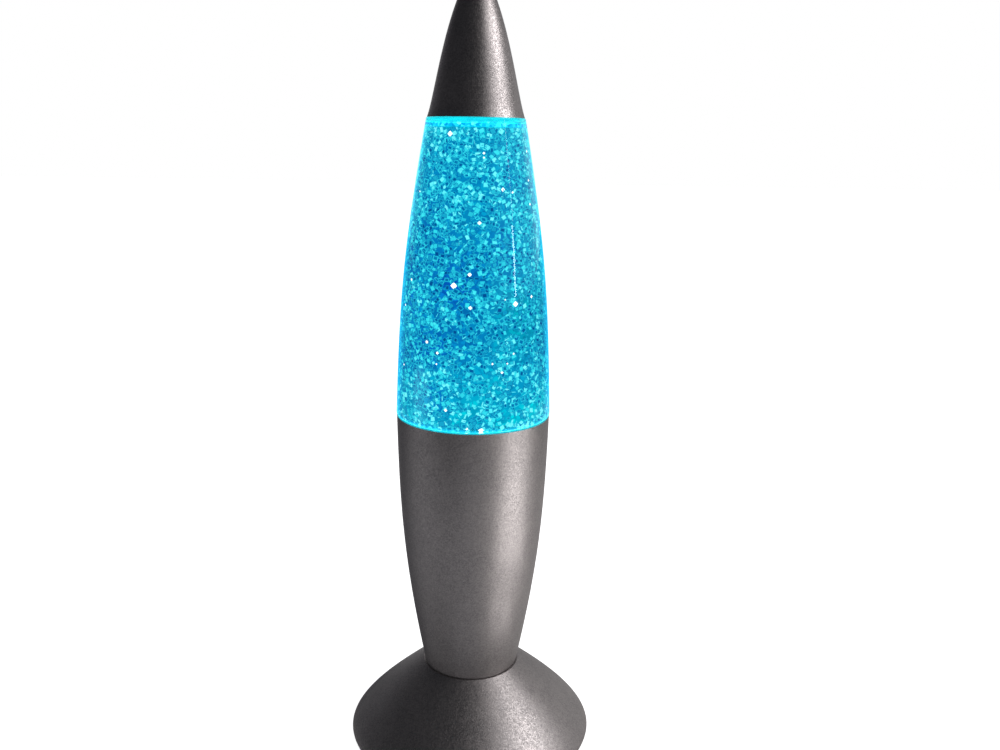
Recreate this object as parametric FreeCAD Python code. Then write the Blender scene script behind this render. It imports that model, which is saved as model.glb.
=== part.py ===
"""Glitter lamp: a liquid-filled bottle on a lit, motor-driven base, built as separate pieces.

Millimetres, +Z up, the origin on the table under the middle of the foot. The front of the lamp
faces -Y; the DC socket and the button are on a flat recess at the back of the foot, facing +Y.
"""

import FreeCAD
import Part
import math
import os

# Clearances
FIT_GAP = 0.3
GLUE_GAP = 0.05
RUNNING_GAP = 0.05
LIQUID_GAP = 0.15

# Foot: a dome with a rolled lip, standing on rubber pads
FOOT_RADIUS = 55.15
FOOT_RIM_LEAN = 9.8
FOOT_RIM_REACH = 1.35
FOOT_NECK_RADIUS = 21.77
FOOT_NECK_LEAN = 51.0
FOOT_NECK_REACH = 37.3
FOOT_HEIGHT = 36.7
FOOT_WALL = 1.8
LIP_ROUND = 2.5
LIP_WIDTH = 0.8
LIP_UNDERSIDE = 2.0
SPIGOT_RING_HEIGHT = 3.2
SPIGOT_RING_WALL = 1.6
FOOT_FLANGE_HOLE = 8.5

# Bottom plate and pads
PLATE_THICK = 2.0
PAD_RADIUS = 5.0
PAD_INSET = 13.15
PAD_RECESS = 1.0
PAD_ROUND = 0.6
PAD_ANGLES = (45, 135, 225, 315)
PLATE_SCREW_INSET = 11.15
PLATE_SCREW_ANGLES = (30, 150, 270)
PLATE_BOSS_RADIUS = 3.5
PLATE_SCREW_REACH = 8.0

# Back recess with the DC socket and the button
PANEL_INSET = 9.65
PANEL_WIDTH = 34.0
PANEL_FLOOR = 5.0
SERVICE_SPACING = 18.0

# Control board in the foot
BOARD_LENGTH = 44.0
BOARD_DEPTH = 35.0
BOARD_THICK = 1.2
BOARD_SETBACK = 3.7
BOARD_POST_HEIGHT = 1.0
BOARD_POST_RADIUS = 2.6
BOARD_SCREW_INSET = 3.2
BOX_WIDTH = 8.0
BOX_DEPTH = 9.0
BOX_HEIGHT = 7.0
BOX_SETBACK = 0.8
SOCKET_NOSE_RADIUS = 3.6
SOCKET_MOUTH_RADIUS = 2.9
SOCKET_PIN_RADIUS = 1.0
SOCKET_DEPTH = 9.0
SOCKET_PIN_LENGTH = 8.0
SWITCH_SETBACK = 5.2
CHIP_WIDTH = 6.0
CHIP_LENGTH = 8.0
CHIP_HEIGHT = 1.6
CAPACITOR_RADIUS = 3.0
CAPACITOR_HEIGHT = 7.5
CAPACITOR_X = 12.0
CAPACITOR_OFFSET = 2.0

# Button
BUTTON_RADIUS = 3.7
BUTTON_PROUD = 1.4
BUTTON_FLANGE_RADIUS = 4.5
BUTTON_FLANGE_THICK = 0.9
BUTTON_STEM_RADIUS = 1.4
BUTTON_STEM_REACH = 2.0
BUTTON_TRAVEL = 1.0
BUTTON_EDGE_ROUND = 0.7
SPRING_RADIUS = 2.8
SPRING_WIRE = 0.25
SPRING_WIRE_SIDES = 8
SPRING_TURNS = 3

# Body: tapered shell between the foot and the bottle
BODY_HEIGHT = 117.8
BODY_LOW_RADIUS = 21.05
BODY_LOW_LEAN = -11.3
BODY_LOW_REACH = 50.2
BODY_TOP_RADIUS = 33.2
BODY_TOP_LEAN = -1.15
BODY_TOP_REACH = 41.7
BODY_WALL = 1.8
BODY_EDGE_ROUND = 0.7
BODY_FLANGE_THICK = 2.0
BODY_FLANGE_HOLE = 9.0
BODY_SCREW_CIRCLE = 13.0
BODY_BOSS_RADIUS = 3.0
BODY_BOSS_RISE = 4.0
BODY_SCREW_REACH = 8.0
SCREW_ANGLES = (30, 150, 270)

# Light carrier under the bottle
CARRIER_DEPTH = 15.0
CARRIER_FLANGE = 2.5
CARRIER_UPSTAND = 2.3
CARRIER_LEDGE = 1.2
CARRIER_SCREW_CIRCLE = 25.0
CARRIER_BOSS_RADIUS = 3.2
CARRIER_BOSS_HEIGHT = 10.0
CARRIER_WEB = 2.4
CARRIER_SCREW_REACH = 7.0
LED_BOARD_OUTER = 27.0
LED_BOARD_INNER = 15.0
LED_BOARD_THICK = 1.4
LED_CIRCLE = 20.0
LED_SIZE = 5.0
LED_HEIGHT = 1.6
LED_COUNT = 6
LED_LENS_RADIUS = 1.9
LED_DISH_RADIUS = 1.33
DIFFUSER_THICK = 2.0
RING_THICK = 2.0
RING_WIDTH = 3.8

# Motor and magnet drive
MOTOR_RADIUS = 12.0
MOTOR_LENGTH = 26.0
MOTOR_EDGE_ROUND = 1.5
END_CAP_LENGTH = 2.2
TERMINAL_WIDTH = 3.6
TERMINAL_LENGTH = 2.2
BUSH_RADIUS = 3.0
BUSH_LENGTH = 4.2
BUSH_DROP = 2.0
SHAFT_RADIUS = 1.0
SHAFT_DEPTH = 20.0
MOTOR_SCREW_CIRCLE = 8.0
MOTOR_SCREW_REACH = 4.0
HOLDER_RADIUS = 13.0
HOLDER_THICK = 5.5
HOLDER_LIFT = 2.5
MAGNET_CIRCLE = 8.5
MAGNET_RADIUS = 2.5
MAGNET_THICK = 3.0

# Bottle
BOTTLE_SHOWN = 124.2
SPIGOT_DEPTH = 17.3
BOTTLE_LOW_RADIUS = 33.39
BOTTLE_LOW_LEAN = 2.1
BOTTLE_LOW_REACH = 50.6
BOTTLE_TOP_RADIUS = 20.37
BOTTLE_TOP_LEAN = 10.15
BOTTLE_TOP_REACH = 55.4
GLASS_WALL = 2.2
GLASS_FLOOR = 3.0
GLASS_SHOULDER = 2.4
HEEL_ROUND = 1.0
SPIGOT_ROUND = 1.5
SHOULDER_ROUND = 0.5
WALL_BLEND = 3.5
NECK_RADIUS = 14.8
NECK_BORE = 12.6
NECK_HEIGHT = 10.5
NECK_FLARE = 1.0

# Stirrer in the bottle
SEAT_RADIUS = 11.5
SEAT_THICK = 1.2
PIN_RADIUS = 1.5
WHEEL_RADIUS = 12.2
WHEEL_LIFT = 0.4
WHEEL_DISC = 3.5
HUB_RADIUS = 3.4
VANE_COUNT = 6
VANE_HEIGHT = 6.6
VANE_THICK = 1.2
VANE_TWIST = 32.0
PIN_CAP_RADIUS = 3.0
PIN_CAP_THICK = 1.8
STIRRER_MAGNET_THICK = 2.6

# Closure and cap
CLOSURE_PLUG_DEPTH = 6.0
CLOSURE_FLANGE_RADIUS = 14.0
CLOSURE_FLANGE_THICK = 2.0
SEAL_THICK = 1.0
CAP_HEIGHT = 59.0
CAP_RADIUS = 19.96
CAP_LOW_LEAN = 20.3
CAP_LOW_REACH = 10.4
CAP_TIP_LEAN = 42.3
CAP_TIP_REACH = 18.2
CAP_NOSE_RADIUS = 3.0
CAP_WALL = 1.5
CAP_RIB_COUNT = 4
CAP_RIB_THICK = 1.2
CAP_RIB_HEIGHT = 24.0
CAP_RIB_BORE = 6.0
SLEEVE_HEIGHT = 6.0
SLEEVE_INSET = 1.0

# Screws
PLATE_SCREW_RADIUS = 1.4
BOARD_SCREW_RADIUS = 1.0
BODY_SCREW_RADIUS = 1.4
CARRIER_SCREW_RADIUS = 1.3
MOTOR_SCREW_RADIUS = 1.0
SCREW_HEAD_RATIO = 1.9
SCREW_HEAD_THICK = 1.3
SCREW_SLOT_WIDTH = 0.5
SCREW_SLOT_DEPTH = 0.5
SCREW_TIP_GAP = 1.0

# Leads
LEAD_RADIUS = 1.2
LEAD_BEND_SHARE = 0.45
LEAD_START_X = 6.0
LEAD_RISE = 10.0
LEAD_NECK_X = 4.0
LEAD_NECK_BELOW = 5.0
LEAD_NECK_ABOVE = 12.0
MOTOR_LEAD_RUN = 18.0
LED_LEAD_X = 19.0
LED_LEAD_BELOW = 12.0
PLUG_INSET = 5.0
PLUG_WIDTH = 6.0
PLUG_DEPTH = 4.0
PLUG_HEIGHT = 3.0

# Distances that follow from the sizes above
PAD_CIRCLE = FOOT_RADIUS - PAD_INSET
PLATE_SCREW_CIRCLE = FOOT_RADIUS - PLATE_SCREW_INSET
PANEL_DISTANCE = FOOT_RADIUS - PANEL_INSET
PANEL_INNER = PANEL_DISTANCE - FOOT_WALL
BOARD_BACK = PANEL_INNER - BOARD_SETBACK
LEAD_START_Y = BOARD_BACK - BOARD_DEPTH + PLUG_INSET

# Heights that follow from the sizes above
PLATE_TOP = LIP_UNDERSIDE + PLATE_THICK
RIM_Z = LIP_UNDERSIDE + LIP_ROUND
BODY_TOP = FOOT_HEIGHT + BODY_HEIGHT
SHOULDER_Z = BODY_TOP + FIT_GAP
HEEL_Z = SHOULDER_Z - SPIGOT_DEPTH
RING_Z = HEEL_Z - RING_THICK
DIFFUSER_Z = RING_Z - DIFFUSER_THICK
CARRIER_Z = RING_Z - CARRIER_DEPTH
FLANGE_TOP = CARRIER_Z + CARRIER_FLANGE
LED_BOARD_TOP = FLANGE_TOP + LED_BOARD_THICK
HOLDER_Z = FLANGE_TOP + HOLDER_LIFT
FLOOR_Z = HEEL_Z + GLASS_FLOOR
BOTTLE_TOP = SHOULDER_Z + BOTTLE_SHOWN
NECK_TOP = BOTTLE_TOP + NECK_HEIGHT
CLOSURE_TOP = NECK_TOP + SEAL_THICK + CLOSURE_FLANGE_THICK
BOARD_TOP = PLATE_TOP + BOARD_POST_HEIGHT + BOARD_THICK
SERVICE_Z = BOARD_TOP + BOX_HEIGHT / 2
WHEEL_Z = FLOOR_Z + SEAT_THICK + WHEEL_LIFT

AXIS = FreeCAD.Vector(0, 0, 1)
BACK = FreeCAD.Vector(0, 1, 0)


def spot(radius, z):
    """Point of a section, at this radius and height."""
    return FreeCAD.Vector(radius, 0, z)


def around(radius, angle, z):
    """Point at this radius, angle in degrees and height."""
    turn = math.radians(angle)
    return FreeCAD.Vector(radius * math.cos(turn), radius * math.sin(turn), z)


def lean_vector(lean, reach):
    """Step of this reach that leans inwards from upright by lean degrees."""
    turn = math.radians(lean)
    return FreeCAD.Vector(-reach * math.sin(turn), 0, reach * math.cos(turn))


class Outline:
    """The outer side line of a turned piece, as one smooth curve from its low to its high end."""

    POINTS = 11

    def __init__(self, low, low_lean, low_reach, high, high_lean, high_reach):
        first = spot(*low)
        last = spot(*high)
        self.curve = Part.BezierCurve()
        self.curve.setPoles([
            first,
            first + lean_vector(low_lean, low_reach),
            last - lean_vector(high_lean, high_reach),
            last,
        ])

    def at(self, t, depth=0.0):
        """Point at t from 0 to 1, moved in square to the line by depth."""
        place = self.curve.value(t)
        way = self.curve.tangent(t)[0]
        return place + FreeCAD.Vector(-way.z, 0, way.x) * depth

    def where(self, z, depth=0.0):
        """The t at which the line at this depth passes this height."""
        low = 0.0
        high = 1.0
        for _ in range(50):
            middle = (low + high) / 2
            if self.at(middle, depth).z < z:
                low = middle
            else:
                high = middle
        return (low + high) / 2

    def radius(self, z, depth=0.0):
        """Radius at this height and depth."""
        return self.at(self.where(z, depth), depth).x

    def edge(self, from_z, to_z, depth=0.0):
        """Curved edge from one height to another at this depth."""
        start = self.where(from_z, depth)
        end = self.where(to_z, depth)
        steps = self.POINTS - 1
        points = [self.at(start + (end - start) * i / steps, depth) for i in range(self.POINTS)]
        line = Part.BSplineCurve()
        line.interpolate(points)
        return line.toShape()


FOOT_LINE = Outline(
    (FOOT_RADIUS, RIM_Z), FOOT_RIM_LEAN, FOOT_RIM_REACH,
    (FOOT_NECK_RADIUS, FOOT_HEIGHT), FOOT_NECK_LEAN, FOOT_NECK_REACH)
BODY_LINE = Outline(
    (BODY_LOW_RADIUS, FOOT_HEIGHT), BODY_LOW_LEAN, BODY_LOW_REACH,
    (BODY_TOP_RADIUS, BODY_TOP), BODY_TOP_LEAN, BODY_TOP_REACH)
BOTTLE_LINE = Outline(
    (BOTTLE_LOW_RADIUS, SHOULDER_Z + HEEL_ROUND), BOTTLE_LOW_LEAN, BOTTLE_LOW_REACH,
    (BOTTLE_TOP_RADIUS, BOTTLE_TOP - SHOULDER_ROUND), BOTTLE_TOP_LEAN, BOTTLE_TOP_REACH)
CAP_LINE = Outline(
    (CAP_RADIUS, BOTTLE_TOP), CAP_LOW_LEAN, CAP_LOW_REACH,
    (0, BOTTLE_TOP + CAP_HEIGHT), CAP_TIP_LEAN, CAP_TIP_REACH)

CARRIER_RADIUS = BODY_LINE.radius(CARRIER_Z, BODY_WALL) - FIT_GAP
UPSTAND_INNER = CARRIER_RADIUS - CARRIER_UPSTAND
SPIGOT_RADIUS = BODY_LINE.radius(HEEL_Z, BODY_WALL) - FIT_GAP
PLATE_RADIUS = FOOT_RADIUS - LIP_ROUND - LIP_WIDTH - FIT_GAP


def round_corner(start, corner, end):
    """Quarter-round edge from start to end, bulging towards the corner between them."""
    middle = (start + end) / 2
    bulge = middle + (corner - middle) * (math.sqrt(2) - 1)
    return Part.Arc(start, bulge, end).toShape()


def turned(*steps):
    """Solid of revolution from corners (radius, height) and curved edges, in order round."""
    edges = []
    places = []
    for step in steps:
        if isinstance(step, tuple):
            places.append((spot(*step), spot(*step), None))
        else:
            ends = step.Vertexes
            places.append((ends[0].Point, ends[-1].Point, step))
    for index, (_, end, edge) in enumerate(places):
        if edge is not None:
            edges.append(edge)
        following = places[(index + 1) % len(places)][0]
        if end.distanceToPoint(following) > 1e-6:
            edges.append(Part.makeLine(end, following))
    section = Part.Face(Part.Wire(edges))
    return section.revolve(FreeCAD.Vector(0, 0, 0), AXIS, 360)


def rod(radius, place, length, direction=AXIS):
    """Cylinder from place along direction."""
    return Part.makeCylinder(radius, length, place, direction)


def block(x, y, z):
    """Box between the low and high values given for each axis."""
    return Part.makeBox(x[1] - x[0], y[1] - y[0], z[1] - z[0], FreeCAD.Vector(x[0], y[0], z[0]))


def fused(first, others):
    """One solid from the first and everything that joins it."""
    for other in others:
        first = first.fuse(other)
    return first.removeSplitter()


def cut(shape, tools):
    """The shape less each tool."""
    for tool in tools:
        shape = shape.cut(tool)
    return shape


def disc(radius, low, high, edge=0.0):
    """Disc about the main axis, with its two outer edges rounded."""
    if edge == 0.0:
        return turned((0, low), (radius, low), (radius, high), (0, high))
    return turned(
        (0, low),
        round_corner(spot(radius - edge, low), spot(radius, low), spot(radius, low + edge)),
        round_corner(spot(radius, high - edge), spot(radius, high), spot(radius - edge, high)),
        (0, high))


def screw(radius, head, length, up):
    """Cheese-headed screw whose head rests at the point head, with its shank towards up or down."""
    way = 1 if up else -1
    body = rod(radius, head, length, AXIS * way)
    crown = rod(radius * SCREW_HEAD_RATIO, head, SCREW_HEAD_THICK, AXIS * -way)
    top = head.z - way * SCREW_HEAD_THICK
    reach = radius * SCREW_HEAD_RATIO
    slot = block(
        (head.x - reach, head.x + reach),
        (head.y - SCREW_SLOT_WIDTH / 2, head.y + SCREW_SLOT_WIDTH / 2),
        sorted((top, top + way * SCREW_SLOT_DEPTH)))
    return body.fuse(crown).cut(slot)


def ring_of(angles, radius, z, make):
    """One shape made at each angle round the axis."""
    return [make(around(radius, angle, z)) for angle in angles]


def foot_dome():
    """The foot's outer form, filled."""
    lip = spot(FOOT_RADIUS - LIP_ROUND, LIP_UNDERSIDE)
    return turned(
        (0, LIP_UNDERSIDE),
        round_corner(lip, spot(FOOT_RADIUS, LIP_UNDERSIDE), spot(FOOT_RADIUS, RIM_Z)),
        FOOT_LINE.edge(RIM_Z, FOOT_HEIGHT),
        (0, FOOT_HEIGHT))


def foot_shell():
    """Domed foot with a rolled lip, a neck flange, screw bosses and a flat recess at its back."""
    ring_outer = BODY_LINE.radius(FOOT_HEIGHT, BODY_WALL) - FIT_GAP
    ring_inner = ring_outer - SPIGOT_RING_WALL
    flange_z = FOOT_HEIGHT - FOOT_WALL
    lip_inner = FOOT_RADIUS - LIP_ROUND - LIP_WIDTH
    lip = spot(FOOT_RADIUS - LIP_ROUND, LIP_UNDERSIDE)
    shell = turned(
        (lip_inner, LIP_UNDERSIDE),
        round_corner(lip, spot(FOOT_RADIUS, LIP_UNDERSIDE), spot(FOOT_RADIUS, RIM_Z)),
        FOOT_LINE.edge(RIM_Z, FOOT_HEIGHT),
        (ring_outer, FOOT_HEIGHT),
        (ring_outer, FOOT_HEIGHT + SPIGOT_RING_HEIGHT),
        (ring_inner, FOOT_HEIGHT + SPIGOT_RING_HEIGHT),
        (ring_inner, FOOT_HEIGHT),
        (FOOT_FLANGE_HOLE, FOOT_HEIGHT),
        (FOOT_FLANGE_HOLE, flange_z),
        FOOT_LINE.edge(flange_z, RIM_Z, FOOT_WALL),
        (lip_inner, RIM_Z))
    half = PANEL_WIDTH / 2
    dome = foot_dome()
    backing = block(
        (-half - FOOT_WALL, half + FOOT_WALL), (PANEL_INNER, FOOT_RADIUS), (RIM_Z, FOOT_HEIGHT))
    bosses = ring_of(
        PLATE_SCREW_ANGLES, PLATE_SCREW_CIRCLE, PLATE_TOP,
        lambda place: rod(PLATE_BOSS_RADIUS, place, FOOT_HEIGHT).common(dome))
    shell = fused(shell, [backing.common(dome)] + bosses)
    pilots = ring_of(
        PLATE_SCREW_ANGLES, PLATE_SCREW_CIRCLE, PLATE_TOP,
        lambda place: rod(PLATE_SCREW_RADIUS + GLUE_GAP, place, PLATE_SCREW_REACH))
    holes = ring_of(
        SCREW_ANGLES, BODY_SCREW_CIRCLE, flange_z,
        lambda place: rod(BODY_SCREW_RADIUS + FIT_GAP, place, FOOT_WALL))
    pocket = block((-half, half), (PANEL_DISTANCE, FOOT_RADIUS), (PANEL_FLOOR, FOOT_HEIGHT))
    return cut(shell, [pocket] + service_holes() + pilots + holes)


def service_holes():
    """Bores through the back recess for the socket's nose and the button."""
    start = PANEL_INNER - FOOT_WALL
    half = SERVICE_SPACING / 2
    return [
        rod(SOCKET_NOSE_RADIUS + FIT_GAP, FreeCAD.Vector(-half, start, SERVICE_Z), 3 * FOOT_WALL, BACK),
        rod(BUTTON_RADIUS + FIT_GAP, FreeCAD.Vector(half, start, SERVICE_Z), 3 * FOOT_WALL, BACK),
    ]


def bottom_plate():
    """Plate inside the lip, with pad recesses, sunk screw holes and posts for the board."""
    plate = disc(PLATE_RADIUS, LIP_UNDERSIDE, PLATE_TOP)
    posts = [
        rod(BOARD_POST_RADIUS, place, BOARD_POST_HEIGHT + PLATE_THICK / 2)
        for place in board_screw_places(PLATE_TOP - PLATE_THICK / 2)
    ]
    plate = fused(plate, posts)
    recesses = ring_of(
        PAD_ANGLES, PAD_CIRCLE, LIP_UNDERSIDE,
        lambda place: rod(PAD_RADIUS + GLUE_GAP, place, PAD_RECESS))
    sinks = ring_of(
        PLATE_SCREW_ANGLES, PLATE_SCREW_CIRCLE, LIP_UNDERSIDE,
        lambda place: rod(PLATE_SCREW_RADIUS * SCREW_HEAD_RATIO + FIT_GAP, place, SCREW_HEAD_THICK))
    holes = ring_of(
        PLATE_SCREW_ANGLES, PLATE_SCREW_CIRCLE, LIP_UNDERSIDE,
        lambda place: rod(PLATE_SCREW_RADIUS + FIT_GAP / 2, place, PLATE_THICK))
    pilots = [
        rod(BOARD_SCREW_RADIUS + GLUE_GAP, place, PLATE_THICK / 2 + BOARD_POST_HEIGHT)
        for place in board_screw_places(PLATE_TOP - PLATE_THICK / 2)
    ]
    return cut(plate, recesses + sinks + holes + pilots)


def plate_screws():
    """Screws that hold the bottom plate to the foot."""
    return ring_of(
        PLATE_SCREW_ANGLES, PLATE_SCREW_CIRCLE, LIP_UNDERSIDE + SCREW_HEAD_THICK,
        lambda place: screw(
            PLATE_SCREW_RADIUS, place,
            PLATE_TOP + PLATE_SCREW_REACH - SCREW_TIP_GAP - place.z, True))


def rubber_pads():
    """Round pads that the lamp stands on."""
    pad = disc(PAD_RADIUS, 0, LIP_UNDERSIDE + PAD_RECESS, PAD_ROUND)
    return [
        pad.translated(around(PAD_CIRCLE, angle, 0))
        for angle in PAD_ANGLES
    ]


def board_screw_places(z):
    """The four screw points of the control board at this height."""
    x = BOARD_LENGTH / 2 - BOARD_SCREW_INSET
    back = BOARD_BACK - BOARD_SCREW_INSET
    front = BOARD_BACK - BOARD_DEPTH + BOARD_SCREW_INSET
    return [FreeCAD.Vector(sx * x, y, z) for sx in (-1, 1) for y in (front, back)]


def control_board():
    """Circuit board that switches the colours and the motor."""
    low = PLATE_TOP + BOARD_POST_HEIGHT
    board = block(
        (-BOARD_LENGTH / 2, BOARD_LENGTH / 2), (BOARD_BACK - BOARD_DEPTH, BOARD_BACK), (low, BOARD_TOP))
    holes = [
        rod(BOARD_SCREW_RADIUS + FIT_GAP / 2, place, BOARD_THICK)
        for place in board_screw_places(low)
    ]
    return cut(board, holes)


def board_parts():
    """The board's controller chip, capacitor and the two plugs that its leads end in."""
    middle = BOARD_BACK - BOARD_DEPTH / 2
    chip = block(
        (-CHIP_WIDTH / 2, CHIP_WIDTH / 2), (middle - CHIP_LENGTH / 2, middle + CHIP_LENGTH / 2),
        (BOARD_TOP, BOARD_TOP + CHIP_HEIGHT))
    capacitor = rod(
        CAPACITOR_RADIUS, FreeCAD.Vector(CAPACITOR_X, middle - CAPACITOR_OFFSET, BOARD_TOP),
        CAPACITOR_HEIGHT)
    plugs = [
        block(
            (side * LEAD_START_X - PLUG_WIDTH / 2, side * LEAD_START_X + PLUG_WIDTH / 2),
            (LEAD_START_Y - PLUG_DEPTH / 2, LEAD_START_Y + PLUG_DEPTH / 2),
            (BOARD_TOP, BOARD_TOP + PLUG_HEIGHT))
        for side in (-1, 1)
    ]
    return [chip, capacitor] + plugs


def board_screws():
    """Screws that hold the control board on its posts."""
    length = BOARD_THICK + BOARD_POST_HEIGHT + PLATE_THICK / 4
    return [
        screw(BOARD_SCREW_RADIUS, place, length, False)
        for place in board_screw_places(BOARD_TOP)
    ]


def service_box(x, front):
    """Moulded box on the board whose front face is at this distance back."""
    return block(
        (x - BOX_WIDTH / 2, x + BOX_WIDTH / 2), (front - BOX_DEPTH, front),
        (BOARD_TOP, BOARD_TOP + BOX_HEIGHT))


def dc_socket():
    """Barrel socket: a box on the board with a nose through the recess and a centre pin."""
    x = -SERVICE_SPACING / 2
    front = PANEL_INNER - BOX_SETBACK
    mouth = PANEL_DISTANCE - FIT_GAP
    nose = rod(SOCKET_NOSE_RADIUS, FreeCAD.Vector(x, front, SERVICE_Z), mouth - front, BACK)
    body = fused(service_box(x, front), [nose])
    bore = rod(
        SOCKET_MOUTH_RADIUS, FreeCAD.Vector(x, mouth - SOCKET_DEPTH, SERVICE_Z), SOCKET_DEPTH, BACK)
    pin = rod(
        SOCKET_PIN_RADIUS, FreeCAD.Vector(x, mouth - SOCKET_DEPTH, SERVICE_Z), SOCKET_PIN_LENGTH, BACK)
    return cut(body, [cut(bore, [pin])])


def switch_body():
    """Push switch on the board, with the guide hole that carries the button's stem."""
    x = SERVICE_SPACING / 2
    front = PANEL_INNER - SWITCH_SETBACK
    depth = BUTTON_STEM_REACH + BUTTON_TRAVEL + FIT_GAP
    guide = rod(
        BUTTON_STEM_RADIUS + RUNNING_GAP, FreeCAD.Vector(x, front - depth, SERVICE_Z), depth, BACK)
    return cut(service_box(x, front), [guide])


def button_cap():
    """Round push button with a retaining flange behind the panel and a guide stem."""
    x = SERVICE_SPACING / 2
    flange_front = PANEL_INNER - FIT_GAP
    flange_back = flange_front - BUTTON_FLANGE_THICK
    stem_end = PANEL_INNER - SWITCH_SETBACK - BUTTON_STEM_REACH
    face = PANEL_DISTANCE + BUTTON_PROUD
    knob = turned(
        (0, stem_end), (BUTTON_STEM_RADIUS, stem_end), (BUTTON_STEM_RADIUS, flange_back),
        (BUTTON_FLANGE_RADIUS, flange_back), (BUTTON_FLANGE_RADIUS, flange_front),
        (BUTTON_RADIUS, flange_front),
        round_corner(
            spot(BUTTON_RADIUS, face - BUTTON_EDGE_ROUND), spot(BUTTON_RADIUS, face),
            spot(BUTTON_RADIUS - BUTTON_EDGE_ROUND, face)),
        (0, face))
    knob.rotate(FreeCAD.Vector(0, 0, 0), FreeCAD.Vector(1, 0, 0), -90)
    return knob.translated(FreeCAD.Vector(x, 0, SERVICE_Z))


def button_spring():
    """Return spring round the stem, between the switch and the button's flange.

    The thin wire's section has eight sides, which is round enough at its size.
    """
    low = PANEL_INNER - SWITCH_SETBACK + SPRING_WIRE + GLUE_GAP
    high = PANEL_INNER - FIT_GAP - BUTTON_FLANGE_THICK - SPRING_WIRE - GLUE_GAP
    pitch = (high - low) / SPRING_TURNS
    start, way = coil_place(SPRING_RADIUS, pitch, 0)
    out = FreeCAD.Vector(1, 0, 0)
    corners = []
    for index in range(SPRING_WIRE_SIDES):
        turn = 2 * math.pi * index / SPRING_WIRE_SIDES
        corners.append(start + (out * math.cos(turn) + way.cross(out) * math.sin(turn)) * SPRING_WIRE)
    section = Part.makePolygon(corners + corners[:1])
    coil = coil_path(SPRING_RADIUS, pitch, SPRING_TURNS).makePipeShell([section], True, False)
    coil.rotate(FreeCAD.Vector(0, 0, 0), FreeCAD.Vector(1, 0, 0), -90)
    return coil.translated(FreeCAD.Vector(SERVICE_SPACING / 2, low, SERVICE_Z))


def coil_place(radius, pitch, turns):
    """Point of a coil after this many turns, and its direction there."""
    angle = 360 * turns
    side = around(1, angle + 90, 0)
    way = side * (2 * math.pi * radius) + AXIS * pitch
    return around(radius, angle, pitch * turns), way.normalize()


def arc_between(start, way, end):
    """Edge from start to end as an arc whose direction at start is way."""
    chord = end - start
    along = FreeCAD.Vector(chord).normalize()
    side = (way - along * way.dot(along)).normalize()
    bulge = chord.Length / 2 * math.tan(way.getAngle(chord) / 2)
    return Part.Arc(start, (start + end) / 2 + side * bulge, end).toShape()


def coil_path(radius, pitch, turns):
    """Wire of a coil, each quarter turn two arcs that meet in line."""
    edges = []
    for quarter in range(4 * turns):
        start, way = coil_place(radius, pitch, quarter / 4)
        end, end_way = coil_place(radius, pitch, (quarter + 1) / 4)
        chord = end - start
        spread = 2 * (1 - way.dot(end_way))
        along = chord.dot(way + end_way)
        reach = (math.sqrt(along ** 2 + spread * chord.dot(chord)) - along) / spread
        joint = (start + end + (way - end_way) * reach) / 2
        edges.append(arc_between(start, way, joint))
        edges.append(arc_between(joint, (joint - start - way * reach).normalize(), end))
    return Part.Wire(edges)


def body_form():
    """The body's outer form, filled."""
    low = BODY_LINE.radius(FOOT_HEIGHT + BODY_EDGE_ROUND)
    return turned(
        (0, FOOT_HEIGHT),
        round_corner(
            spot(low - BODY_EDGE_ROUND, FOOT_HEIGHT), spot(low, FOOT_HEIGHT),
            spot(low, FOOT_HEIGHT + BODY_EDGE_ROUND)),
        BODY_LINE.edge(FOOT_HEIGHT + BODY_EDGE_ROUND, BODY_TOP),
        (0, BODY_TOP))


def body_shell():
    """Tapered shell with a screw flange at its foot and webbed bosses for the light carrier."""
    low = BODY_LINE.radius(FOOT_HEIGHT + BODY_EDGE_ROUND)
    flange_z = FOOT_HEIGHT + SPIGOT_RING_HEIGHT + FIT_GAP
    flange_top = flange_z + BODY_FLANGE_THICK
    shell = turned(
        round_corner(
            spot(low - BODY_EDGE_ROUND, FOOT_HEIGHT), spot(low, FOOT_HEIGHT),
            spot(low, FOOT_HEIGHT + BODY_EDGE_ROUND)),
        BODY_LINE.edge(FOOT_HEIGHT + BODY_EDGE_ROUND, BODY_TOP),
        BODY_LINE.edge(BODY_TOP, flange_top, BODY_WALL),
        (BODY_FLANGE_HOLE, flange_top),
        (BODY_FLANGE_HOLE, flange_z),
        BODY_LINE.edge(flange_z, FOOT_HEIGHT, BODY_WALL))
    neck_bosses = ring_of(
        SCREW_ANGLES, BODY_SCREW_CIRCLE, FOOT_HEIGHT,
        lambda place: rod(BODY_BOSS_RADIUS, place, flange_top + BODY_BOSS_RISE - FOOT_HEIGHT))
    shell = fused(shell, neck_bosses + carrier_bosses())
    neck_pilots = ring_of(
        SCREW_ANGLES, BODY_SCREW_CIRCLE, FOOT_HEIGHT,
        lambda place: rod(BODY_SCREW_RADIUS + GLUE_GAP, place, BODY_SCREW_REACH))
    carrier_pilots = ring_of(
        SCREW_ANGLES, CARRIER_SCREW_CIRCLE, CARRIER_Z - CARRIER_SCREW_REACH - SCREW_TIP_GAP,
        lambda place: rod(
            CARRIER_SCREW_RADIUS + GLUE_GAP, place, CARRIER_SCREW_REACH + SCREW_TIP_GAP))
    return cut(shell, neck_pilots + carrier_pilots)


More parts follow.
